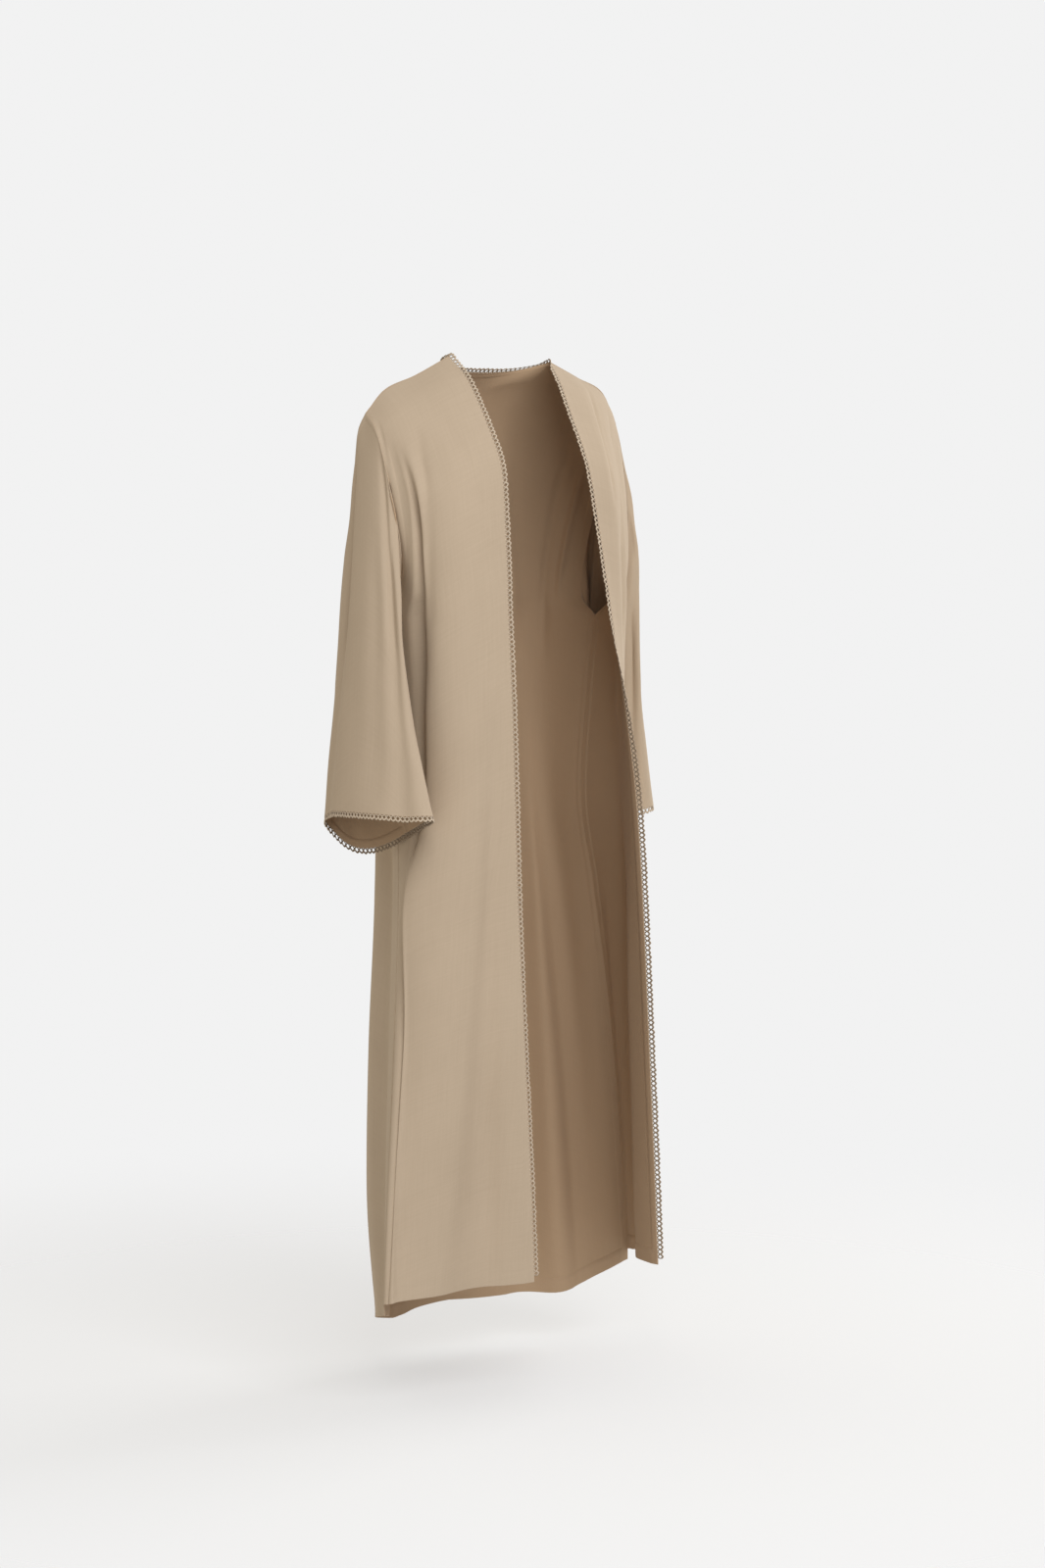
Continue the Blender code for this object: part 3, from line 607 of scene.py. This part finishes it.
def sewn_and_turned(grid, sewn, hem, facing_side, pressed, seed):
    """A piece's finished outer face, its thickness, its normals and its distances from the hem's stitches."""
    cloth = bpy.context.scene.abaya_cloth
    grid = uneven(grid, seed)
    for side in sewn:
        grid = lines_near_side(grid, side, SEAM_LINES)
    if facing_side:
        grid = lines_near_side(grid, facing_side, turned_lines(cloth.facing_depth, 0.006))
    grid = lines_near_side(grid, "bottom", turned_lines(hem, 0.008, hem * 0.6))
    normals = grid_normals(grid, False)
    hem_distance = distance_from(grid, "bottom")
    layers = 1 + (hem_distance < hem).astype(float)
    if facing_side:
        layers = np.maximum(layers, 1 + (distance_from(grid, facing_side) < cloth.facing_depth))
    relief = np.zeros(grid.shape[:2])
    for side in sewn:
        far = distance_from(grid, side)
        layers = np.maximum(layers, 1 + SEAM_LAYERS * (far < SEAM_ALLOWANCE))
        relief -= GROOVE_DEPTH * np.exp(-((far / GROOVE_WIDTH) ** 2))
        if pressed:
            relief += PRESSED_HEIGHT * smooth_step((PRESSED_END - far) / PRESSED_FADE)
        if side != "top":
            along = distance_from(grid, "top")
            pucker = np.sin(along / PUCKER_STEP + 2 * np.sin(along / PUCKER_DRIFT))
            relief += PUCKER_HEIGHT * pucker * np.exp(-((far / PUCKER_WIDTH) ** 2))
    relief += HEM_HEIGHT * smooth_step((hem - hem_distance) / HEM_FADE)
    grid = grid + relief[..., None] * normals
    return grid, layers * cloth.thickness, normals, hem_distance - hem


def math_of(operation, swapped=False):
    return lambda value, *others: value.math(operation, *others, swapped=swapped)


class Value:
    """A number in a shader's nodes, which Python's operators work on."""

    def __init__(self, tree, socket):
        self.tree = tree
        self.socket = socket

    def math(self, operation, *others, swapped=False):
        values = [*others, self] if swapped else [self, *others]
        node = self.tree.nodes.new("ShaderNodeMath")
        node.operation = operation
        for socket, value in zip(node.inputs, values):
            if isinstance(value, Value):
                self.tree.links.new(value.socket, socket)
            else:
                socket.default_value = value
        return Value(self.tree, node.outputs[0])

    __add__ = __radd__ = math_of("ADD")
    __mul__ = __rmul__ = math_of("MULTIPLY")
    __sub__ = math_of("SUBTRACT")
    __rsub__ = math_of("SUBTRACT", swapped=True)
    __truediv__ = math_of("DIVIDE")
    sin = math_of("SINE")
    size = math_of("ABSOLUTE")
    fraction = math_of("FRACT")
    least = math_of("MINIMUM")
    most = math_of("MAXIMUM")


class Nodes:
    """A tree of nodes and the ways to add to it."""

    def __init__(self, tree):
        self.tree = tree

    def node(self, kind, settings=None, values=None, out=0):
        node = self.tree.nodes.new(kind)
        for name, setting in (settings or {}).items():
            setattr(node, name, setting)
        for name, value in (values or {}).items():
            self.put(node.inputs[name], value)
        return Value(self.tree, node.outputs[out])

    def put(self, socket, value):
        if isinstance(value, Value):
            self.tree.links.new(value.socket, socket)
        else:
            socket.default_value = value

    def mixed(self, share, first, second):
        return self.node("ShaderNodeMix", {"data_type": "RGBA"}, {0: share, 6: first, 7: second}, out=2)


class Finish(Nodes):
    """One material and its nodes."""

    def __init__(self, name):
        self.material = bpy.data.materials.new(name)
        self.material.use_nodes = True
        super().__init__(self.material.node_tree)
        self.shader = self.tree.nodes["Principled BSDF"]

    def set(self, **values):
        for name, value in values.items():
            self.put(self.shader.inputs[name.replace("_", " ")], value)

    def attribute(self, name):
        return self.node("ShaderNodeAttribute", {"attribute_name": name}, out=2)

    def vector(self, x, y, z=0.0):
        return self.node("ShaderNodeCombineXYZ", values={0: x, 1: y, 2: z})

    def noise(self, vector, scale, detail=2.0, roughness=0.5):
        return self.node("ShaderNodeTexNoise", values={
            "Vector": vector, "Scale": scale, "Detail": detail, "Roughness": roughness})

    def toned(self, share, dark, light):
        return self.mixed(share.most(0.0).least(1.0), (*dark, 1.0), (*light, 1.0))

    def stepped(self, value, low, high):
        return self.node("ShaderNodeMapRange", {"interpolation_type": "SMOOTHSTEP"}, {
            0: value, 1: low, 2: high, 3: 0.0, 4: 1.0})

    def flat_place(self, name):
        place = self.node("ShaderNodeUVMap", {"uv_map": name})
        parts = self.tree.nodes.new("ShaderNodeSeparateXYZ")
        self.tree.links.new(place.socket, parts.inputs[0])
        return place, Value(self.tree, parts.outputs[0]), Value(self.tree, parts.outputs[1])

    def bump(self, height, distance, strength=1.0):
        self.put(self.shader.inputs["Normal"], self.node("ShaderNodeBump", values={
            "Height": height, "Distance": distance, "Strength": strength}))


@lru_cache(maxsize=None)
def crepe():
    """Matte crepe: an irregular woven grain, faint slubs and streaks, stitched hems and soft clouding, and
    painted shade that turns its inner face a darker brown.
    """
    cloth = bpy.context.scene.abaya_cloth
    finish = Finish("crepe")
    place, across, down = finish.flat_place("cloth")
    inside = finish.attribute("inside")
    hem = finish.attribute("hem_line")

    def grain(fine, drawn_out):
        """Noise drawn out both ways of the weave: its changes a metre across a thread, and along it."""
        down_it = finish.noise(finish.vector(across * fine, down * drawn_out), 1.0)
        return down_it + finish.noise(finish.vector(across * drawn_out, down * fine), 1.0)

    threads = grain(2400.0, 130.0) * 0.5
    slubs = grain(700.0, 18.0)
    streaks = grain(240.0, 9.0)
    pebble = finish.noise(place, 1300.0, 3.0, 0.6)
    cloud = finish.noise(place, 7.0, 3.0, 0.55)
    pricks = 1.0 - finish.stepped((hem + 0.0015).size(), 0.0001, 0.0005)
    along_stitch = (across / cloth.stitch_length).fraction() - 0.5
    pricks = pricks * (1.0 - finish.stepped(along_stitch.size(), 0.10, 0.18))
    tone = (threads - 0.5) * 0.5 + (pebble - 0.5) * 0.35 + (cloud - 0.5) * 0.55
    # The slubs are the crepe's own. Their extra strength on the inner face is painted light that stands in
    # for light shining through the cloth
    tone = tone + (slubs - 1.0) * (0.36 + inside * 0.55) + (streaks - 1.0) * 0.30
    colour = finish.toned(0.5 + tone, cloth.dark_colour, cloth.light_colour)
    # Painted shade: the inner face leans to a darker, browner tone that stands in for its shade and the brown
    # light bounced inside the cloak
    colour = finish.mixed(inside * 0.75, colour, (*cloth.inside_shade_colour, 1.0))
    finish.set(Base_Color=colour, Roughness=0.80 + 0.12 * pebble)
    finish.set(Sheen_Weight=0.12, Sheen_Roughness=0.45, Specular_IOR_Level=0.25)
    finish.set(Sheen_Tint=(1.0, 0.93, 0.84, 1.0))
    height = threads * 0.7 + pebble * 0.6 - pricks * (1.6 - inside * 3.2) + slubs * 0.25
    finish.bump(height, 0.00018)
    return finish.material


@lru_cache(maxsize=None)
def crochet():
    """Twisted cotton yarn, with the small bumps of crochet stitches along it, painted lighter on its lit
    outer side and darker on its shaded inner side and in the grooves between plies and stitches.
    """
    edging = bpy.context.scene.abaya_edging
    ply, stitch = 0.0009, 0.0021
    finish = Finish("crochet")
    _, along, around = finish.flat_place("yarn")
    outer = finish.attribute("lit_outer_side")
    position = finish.node("ShaderNodeTexCoord", out=3)
    twist = ((along / ply + around * 2.0) * math.tau).sin()
    stitches = (along / stitch * math.tau).sin()
    fuzz = finish.noise(position, 2600.0, 2.0)
    cloud = finish.noise(position, 60.0, 2.0)
    # Painted light and shade: the outer side is painted lit, the inner side shaded, and the grooves between
    # plies and stitches darker; fuzz and cloud are the yarn's own uneven tone
    share = 0.45 + outer * 0.38 + twist * 0.12 + stitches * 0.08 + (fuzz - 0.5) * 0.3 + (cloud - 0.5) * 0.2
    finish.set(
        Base_Color=finish.toned(share, edging.dark_colour, edging.light_colour), Roughness=0.78 + fuzz * 0.15)
    finish.set(Sheen_Weight=0.15, Sheen_Roughness=0.5, Specular_IOR_Level=0.3)
    finish.bump(twist * 0.5 + stitches * 0.6 + fuzz * 0.4, 0.00025)
    return finish.material


def length_of(name, description, default, low, high, precision=4):
    return bpy.props.FloatProperty(
        name=name, description=description, default=default, min=low, max=high, unit="LENGTH",
        precision=precision)


def power_of(name, description, default):
    return bpy.props.FloatProperty(
        name=name, description=description, default=default, min=0, max=1000, unit="POWER")


def colour_of(name, description, default, high=1):
    return bpy.props.FloatVectorProperty(
        name=name, description=description, default=default, min=0, max=high, subtype="COLOR")


class ClothSettings(bpy.types.PropertyGroup):
    thickness: length_of("Cloth thickness", "One layer of crepe", 0.0009, 0.0003, 0.002, 5)
    hem_depth: length_of("Hem", "How far the bottom hem is turned up", 0.022, 0.01, 0.05)
    cuff_depth: length_of("Cuff hem", "How far the cuffs are turned in", 0.012, 0.006, 0.03)
    facing_depth: length_of("Front hem", "How far the open edges are turned in", 0.012, 0.006, 0.03)
    stitch_length: length_of("Stitch length", "One stitch of the hems", 0.0052, 0.001, 0.01)
    light_colour: colour_of("Light threads", "The lighter of the two tones of crepe", (0.545, 0.440, 0.325))
    dark_colour: colour_of("Dark threads", "The darker of the two tones of crepe", (0.455, 0.362, 0.262))
    # Painted shade: the darker, browner tone of the inner face stands in for its shade and the light bounced
    # inside the cloak
    inside_shade_colour: colour_of("Inside", "A browner tone that the inner face leans to", (0.44, 0.295, 0.175))


class EdgingSettings(bpy.types.PropertyGroup):
    pitch: length_of("Picot pitch", "From one diamond picot to the next", 0.00706, 0.004, 0.02, 5)
    width: length_of("Edging width", "From the cloth to the picots' tips", 0.0096, 0.005, 0.02)
    yarn: length_of("Yarn width", "How wide a crocheted bar is", 0.0028, 0.0008, 0.004)
    # Painted light and shade: the light tone stands for the yarn's lit outer side, the dark tone for its
    # shaded inner side and the shade between the plies
    light_colour: colour_of("Light yarn", "The lighter tone of the yarn", (0.820, 0.690, 0.530))
    dark_colour: colour_of(
        "Dark yarn", "The darker tone, between the plies and on the inner side", (0.25, 0.175, 0.11))


class StageSettings(bpy.types.PropertyGroup):
    floor_height: length_of("Floor", "Height of the floor below the neck", -1.525, -3, 0)
    surround: bpy.props.FloatProperty(
        name="Surround", description="Brightness of the pale room", default=0.887, min=0, max=2)
    key: power_of("Key light", "Power of the large soft light", 166.0)
    rim: power_of("Side light", "Power of the light on the far side", 68.0)
    front_light: colour_of("Room in front", "Light of the room from the front", (0.355, 0.335, 0.335), 2)
    back_light: colour_of("Room behind", "Light of the room from behind", (0.775, 0.705, 0.575), 2)


def cloth_piece(node, grid, sewn, hem, facing_side, seed):
    """Adds a piece of crepe in place of its solid, and hides the solid."""
    parts = sewn_and_turned(grid, sewn, hem, facing_side, "front" not in node, seed)
    obj = add_cloth(node + "_crepe", *parts, crepe())
    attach(obj, "root")
    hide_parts(node)


class ABAYA_OT_fronts(bpy.types.Operator):
    """Adds the two open fronts"""

    bl_idname = "abaya.fronts"
    bl_label = "Fronts"

    def execute(self, context):
        hem = context.scene.abaya_cloth.hem_depth
        grids = cloth_grids()
        cloth_piece("front_right", grids["front_right"], ("top", "right"), hem, "left", 11)
        cloth_piece("front_left", grids["front_left"], ("top", "left"), hem, "right", 12)
        return {"FINISHED"}


class ABAYA_OT_back(bpy.types.Operator):
    """Adds the back, cut in one piece"""

    bl_idname = "abaya.back"
    bl_label = "Back"

    def execute(self, context):
        hem = context.scene.abaya_cloth.hem_depth
        cloth_piece("back", cloth_grids()["back"], ("left", "right", "top"), hem, None, 13)
        return {"FINISHED"}


class ABAYA_OT_sleeves(bpy.types.Operator):
    """Adds the two wide sleeves, each with its seam under the arm"""

    bl_idname = "abaya.sleeves"
    bl_label = "Sleeves"

    def execute(self, context):
        hem = context.scene.abaya_cloth.cuff_depth
        for seed, side in enumerate(("right", "left"), 21):
            grid = cloth_grids()[f"sleeve_{side}"]
            half = grid.shape[1] // 2
            opened = np.roll(grid, half, axis=1)
            opened = np.concatenate([opened, opened[:, :1]], axis=1)
            cloth_piece(f"sleeve_{side}", opened, ("left", "right", "top"), hem, None, seed)
        return {"FINISHED"}


# One picot: steps along its loop and round its yarn, and how square its diamond is
LOOP_STEPS, YARN_SIDES = 12, 5
SQUARENESS = 1.25
# It reaches this far past its half of the pitch, and starts this far out from the cloth's edge
OVERLAP, LOOP_TOP = 0.0001, 0.0004
# Shares of the yarn's width at the top and added by the tip, and of that width through the edging
TOP_WIDTH, WIDER_TIP, YARN_DEPTH = 0.72, 0.40, 0.78
# How much yarn a loop and a whole repeat use
LOOP_YARN, REPEAT_YARN = 0.0215, 0.0237
# Half the width, height and depth of the stitch over a picot, and how far out and forward its middle is
STITCH_SIZE = (0.00062, 0.0019, 0.00085)
STITCH_PLACE = (-0.0004, 0.0004)
# Picots differ by at most this much in length, twist and lean, and a twist lifts them by this share
STRETCH, TWIST, LEAN = 0.05, 0.10, 0.05
TWIST_RISE = 0.6
# The edging follows the cloth at a corner and turns its own way within this reach, and ends above the hem
CORNER_REACH = 0.03
HEM_CLEARANCE = 0.008


@lru_cache(maxsize=None)
def picot():
    """One repeat of the edging: a diamond loop and the stitch that holds its top to the cloth.

    Returns its points as (along, out, through), its faces, and where each point is on the yarn."""
    edging = bpy.context.scene.abaya_edging
    bpy.ops.object.select_all(action="DESELECT")
    bpy.ops.mesh.primitive_torus_add(
        major_segments=LOOP_STEPS, minor_segments=YARN_SIDES, major_radius=1.0, minor_radius=0.2)
    loop = bpy.context.active_object
    half_across = edging.pitch / 2 + OVERLAP
    tip = edging.width - edging.yarn / 2
    middle, half_down = (LOOP_TOP + tip) / 2, (tip - LOOP_TOP) / 2
    points, places = [], []
    for number in range(LOOP_STEPS):
        turn = math.tau * number / LOOP_STEPS
        along, out = math.cos(turn), math.sin(turn)
        size = (abs(along) ** SQUARENESS + abs(out) ** SQUARENESS) ** (-1 / SQUARENESS)
        wide = edging.yarn / 2 * (TOP_WIDTH + WIDER_TIP * (1 + out) / 2)
        centre = np.array([along * size * half_across, middle + out * size * half_down])
        outward = np.array([along * half_down, out * half_across])
        outward /= np.linalg.norm(outward)
        for step in range(YARN_SIDES):
            angle = math.tau * step / YARN_SIDES
            place = centre + outward * wide * math.cos(angle)
            points.append((place[0], place[1], wide * YARN_DEPTH * math.sin(angle)))
            places.append((number / LOOP_STEPS * LOOP_YARN, step / YARN_SIDES))
    faces = [tuple(face.vertices) for face in loop.data.polygons]
    bpy.ops.mesh.primitive_uv_sphere_add(segments=6, ring_count=4, radius=1.0)
    stitch = bpy.context.active_object
    start = len(points)
    for vertex in stitch.data.vertices:
        x, y, z = vertex.co
        across, high, deep = STITCH_SIZE
        points.append((x * across, STITCH_PLACE[0] + z * high, y * deep + STITCH_PLACE[1]))
        places.append((0.0015 * z, math.atan2(y, x) / math.tau))
    # Blender gives a sphere's faces in no fixed order, so they are sorted
    faces += sorted(tuple(start + corner for corner in face.vertices) for face in stitch.data.polygons)
    bpy.data.objects.remove(loop)
    bpy.data.objects.remove(stitch)
    return np.array(points), faces, np.array(places)


def reach_along(line):
    """How far along the line each of its points is."""
    return np.concatenate([[0], np.cumsum(np.linalg.norm(np.diff(line, axis=0), axis=1))])


def values_at(places, reach, *lines):
    """Each line's values at those places along it."""
    return [
        np.stack([np.interp(places, reach, line[:, axis]) for axis in range(3)], axis=1) for line in lines]


def edging_along(name, node, line, out, normal, seed):
    """Picots side by side along a line of the cloth's edge."""
    edging = bpy.context.scene.abaya_edging
    shape, faces, places = picot()
    reach = reach_along(line)
    count = round(reach[-1] / edging.pitch)
    pitch = reach[-1] / count
    draw = np.random.default_rng(seed)
    cloth_middle = -bpy.context.scene.abaya_cloth.thickness
    points, all_faces, yarn = [], [], []
    for number in range(count):
        stretch = 1 + draw.uniform(-STRETCH, STRETCH)
        twist = draw.uniform(-TWIST, TWIST)
        lean = draw.uniform(-LEAN, LEAN)
        at = (number + 0.5) * pitch + shape[:, 0] * pitch / edging.pitch + shape[:, 1] * lean
        here, outward, through = values_at(at, reach, line, out, normal)
        far = np.where(shape[:, 1] > 0, shape[:, 1] * stretch, shape[:, 1])
        lifted = shape[:, 2] + cloth_middle + twist * np.maximum(far, 0) * TWIST_RISE
        start = number * len(shape)
        points.append(here + unit(outward) * far[:, None] + unit(through) * lifted[:, None])
        all_faces += [tuple(start + corner for corner in face) for face in faces]
        yarn.append(places + np.array([number * REPEAT_YARN, 0]))
    # Which side of the yarn each point is on, for the painted light on the outer side and the painted shade
    # on the inner side
    lit_outer_side = np.tile(np.clip(shape[:, 2] / (0.4 * edging.yarn), -1, 1), count)
    obj = new_piece(name, np.concatenate(points), all_faces, "yarn", np.concatenate(yarn),
                    {"lit_outer_side": lit_outer_side}, crochet())
    bpy.ops.object.select_all(action="DESELECT")
    obj.select_set(True)
    bpy.context.view_layer.objects.active = obj
    bpy.ops.object.mode_set(mode="EDIT")
    bpy.ops.mesh.select_all(action="SELECT")
    bpy.ops.mesh.normals_make_consistent(inside=False)
    bpy.ops.object.mode_set(mode="OBJECT")
    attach(obj, "root")
    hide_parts(node)


def softened(directions, reach):
    """Directions averaged over their neighbours."""
    padded = np.concatenate([directions[:1]] * reach + [directions] + [directions[-1:]] * reach)
    kernel = np.ones(2 * reach + 1) / (2 * reach + 1)
    return unit(np.stack([np.convolve(padded[:, axis], kernel, "valid") for axis in range(3)], axis=1))


def lead(line, directions, corner):
    """Directions that start from the corner's and soon become their own."""
    share = smooth_step(reach_along(line) / CORNER_REACH)[:, None]
    return unit(corner * (1 - share) + directions * share)


def edging_lines():
    """For each edging that isn't on a cuff: its line, directions out of the cloth and normals."""
    grids = cloth_grids()
    right, left, back = grids["front_right"], grids["front_left"], grids["back"]
    span = slice(FRONT_COLUMNS, FRONT_COLUMNS + NECK_COLUMNS + 1)
    neck = back[0, span]
    up = softened(unit(back[0, span] - back[2, span]), 3)
    neck_normals = softened(grid_normals(back, False)[1, span], 3)
    lines = {}
    corners = []
    for side, grid, column, neighbour, end in (("right", right, 0, 2, 0), ("left", left, -1, -3, -1)):
        line = grid[:, column]
        out = softened(unit(line - grid[:, neighbour]), 3)
        corner = unit(out[0] + up[end])
        corners.append(corner)
        normals = softened(grid_normals(grid, False)[:, column], 3)
        if side == "left":
            turned = EDGING_TURN * curl_share(line[:, 2])[:, None]
            out, normals = unit(out + turned * normals), unit(normals - turned * out)
        lines[side] = (line, lead(line, out, corner), normals)
    up = lead(neck, up, corners[0])
    up = lead(neck[::-1], up[::-1], corners[1])[::-1]
    lines["neck"] = (neck, up, neck_normals)
    return lines


def cut_short(parts):
    """The line and its directions, ended a little above the hem."""
    reach = reach_along(parts[0])
    last = reach[-1] - HEM_CLEARANCE
    places = np.append(reach[reach < last - 0.001], last)
    return values_at(places, reach, *parts)


class ABAYA_OT_front_edgings(bpy.types.Operator):
    """Adds the crochet edging of the two open edges"""

    bl_idname = "abaya.front_edgings"
    bl_label = "Front edgings"

    def execute(self, context):
        lines = edging_lines()
        for seed, side in enumerate(("right", "left"), 31):
            parts = cut_short(lines[side])
            edging_along(f"edging_front_{side}_crochet", f"edging_front_{side}", *parts, seed)
        return {"FINISHED"}


class ABAYA_OT_neck_edging(bpy.types.Operator):
    """Adds the crochet edging round the back of the neck"""

    bl_idname = "abaya.neck_edging"
    bl_label = "Neck edging"

    def execute(self, context):
        edging_along("edging_neck_crochet", "edging_neck", *edging_lines()["neck"], 33)
        return {"FINISHED"}


class ABAYA_OT_cuff_edgings(bpy.types.Operator):
    """Adds the crochet edging of the two cuffs"""

    bl_idname = "abaya.cuff_edgings"
    bl_label = "Cuff edgings"

    def execute(self, context):
        for seed, side in enumerate(("right", "left"), 41):
            grid = cloth_grids()[f"sleeve_{side}"]
            ring = np.concatenate([grid, grid[:, :1]], axis=1)
            out = unit(ring[-1] - ring[-3])
            normals = grid_normals(grid, True)[-1]
            normals = np.concatenate([normals, normals[:1]])
            edging_along(f"edging_cuff_{side}_crochet", f"edging_cuff_{side}", ring[-1], out, normals, seed)
        return {"FINISHED"}


def light_room(world, stage):
    """A pale room that lights from the front more than from behind, behind an even backdrop."""
    room = Nodes(world.node_tree)
    place = room.node("ShaderNodeTexCoord")
    front = Vector((-0.20, -0.90, 0.36)).normalized()
    toward = room.node("ShaderNodeVectorMath", {"operation": "DOT_PRODUCT"}, {0: place, 1: front}, out=1)
    share = room.node("ShaderNodeMapRange", values={0: toward, 1: -1.0, 2: 1.0})
    tint = room.mixed(share, (*stage.back_light, 1.0), (*stage.front_light, 1.0))
    lit = room.node("ShaderNodeBackground", values={"Color": tint})
    white = (1.0, 1.0, 1.0, 1.0)
    seen = room.node("ShaderNodeBackground", values={"Color": white, "Strength": stage.surround})
    camera_ray = room.node("ShaderNodeLightPath")
    both = room.node("ShaderNodeMixShader", values={0: camera_ray, 1: lit, 2: seen})
    room.put(world.node_tree.nodes["World Output"].inputs["Surface"], both)


class ABAYA_OT_stage(bpy.types.Operator):
    """Adds the floor, the pale room, the lights and the camera"""

    bl_idname = "abaya.stage"
    bl_label = "Stage"

    def execute(self, context):
        scene = context.scene
        stage = scene.abaya_stage
        bpy.ops.object.select_all(action="DESELECT")
        bpy.ops.mesh.primitive_circle_add(
            vertices=96, radius=6.0, fill_type="NGON", location=(0, 0, stage.floor_height))
        floor = context.active_object
        floor.name = "floor"
        bpy.ops.object.transform_apply(location=True)
        finish = Finish("pale_floor")
        place = finish.node("ShaderNodeTexCoord", out=3)
        level = finish.node("ShaderNodeVectorMath", {"operation": "MULTIPLY"}, {0: place, 1: (1.0, 1.0, 0.0)})
        far = finish.node("ShaderNodeVectorMath", {"operation": "LENGTH"}, {0: level}, out=1)
        finish.set(Base_Color=(0.87, 0.885, 0.905, 1.0), Roughness=0.9, Specular_IOR_Level=0.0)
        finish.set(Alpha=0.45 - 0.45 * finish.stepped(far, 0.4, 2.2))
        floor.data.materials.append(finish.material)
        world = bpy.data.worlds.new("pale_room")
        world.use_nodes = True
        light_room(world, stage)
        scene.world = world
        lit_point = Vector((0, 0, -0.7))
        for name, place, size, power in (
            ("key_light", (-1.3, -4.0, 1.8), 3.4, stage.key),
            ("side_light", (3.6, 0.0, 0.6), 1.8, stage.rim),
        ):
            bpy.ops.object.light_add(type="AREA", location=place)
            light = context.active_object
            light.name = name
            light.data.size = size
            light.data.energy = power
            light.rotation_euler = (lit_point - Vector(place)).to_track_quat("-Z", "Y").to_euler()
        azimuth, yaw, pitch = (math.radians(angle) for angle in (38, 0.389, 3.097))
        distance, height = 5, -0.3652
        place = (-distance * math.sin(azimuth), -distance * math.cos(azimuth), height)
        heading, level = azimuth + yaw, math.cos(pitch)
        toward = Vector((math.sin(heading) * level, math.cos(heading) * level, -math.sin(pitch)))
        bpy.ops.object.camera_add(location=place)
        camera = context.active_object
        camera.rotation_euler = toward.to_track_quat("-Z", "Y").to_euler()
        camera.data.sensor_width = 36.0
        camera.data.lens = 76.39
        scene.camera = camera
        scene.view_settings.view_transform = "Standard"
        return {"FINISHED"}


class ABAYA_PT_panel(bpy.types.Panel):
    """Lists the pieces of the cloak"""

    bl_idname = "ABAYA_PT_panel"
    bl_label = "Abaya cloak"
    bl_space_type = "VIEW_3D"
    bl_region_type = "UI"
    bl_category = "Abaya"

    def draw(self, context):
        for group in (context.scene.abaya_cloth, context.scene.abaya_edging, context.scene.abaya_stage):
            for name in group.__annotations__:
                self.layout.prop(group, name)
        for operator in OPERATORS:
            self.layout.operator(operator.bl_idname)


SETTINGS = {"abaya_cloth": ClothSettings, "abaya_edging": EdgingSettings, "abaya_stage": StageSettings}
OPERATORS = (
    ABAYA_OT_front_edgings, ABAYA_OT_neck_edging, ABAYA_OT_cuff_edgings, ABAYA_OT_fronts, ABAYA_OT_back,
    ABAYA_OT_sleeves, ABAYA_OT_stage,
)


def register():
    for name, group in SETTINGS.items():
        bpy.utils.register_class(group)
        setattr(bpy.types.Scene, name, bpy.props.PointerProperty(type=group))
    for operator in OPERATORS:
        bpy.utils.register_class(operator)
    bpy.utils.register_class(ABAYA_PT_panel)


def unregister():
    bpy.utils.unregister_class(ABAYA_PT_panel)
    for operator in reversed(OPERATORS):
        bpy.utils.unregister_class(operator)
    for name, group in SETTINGS.items():
        delattr(bpy.types.Scene, name)
        bpy.utils.unregister_class(group)


def main():
    register()
    bpy.ops.abaya.front_edgings()
    bpy.ops.abaya.neck_edging()
    bpy.ops.abaya.cuff_edgings()
    bpy.ops.abaya.fronts()
    bpy.ops.abaya.back()
    bpy.ops.abaya.sleeves()
    bpy.ops.abaya.stage()


if __name__ == "__main__":
    main()
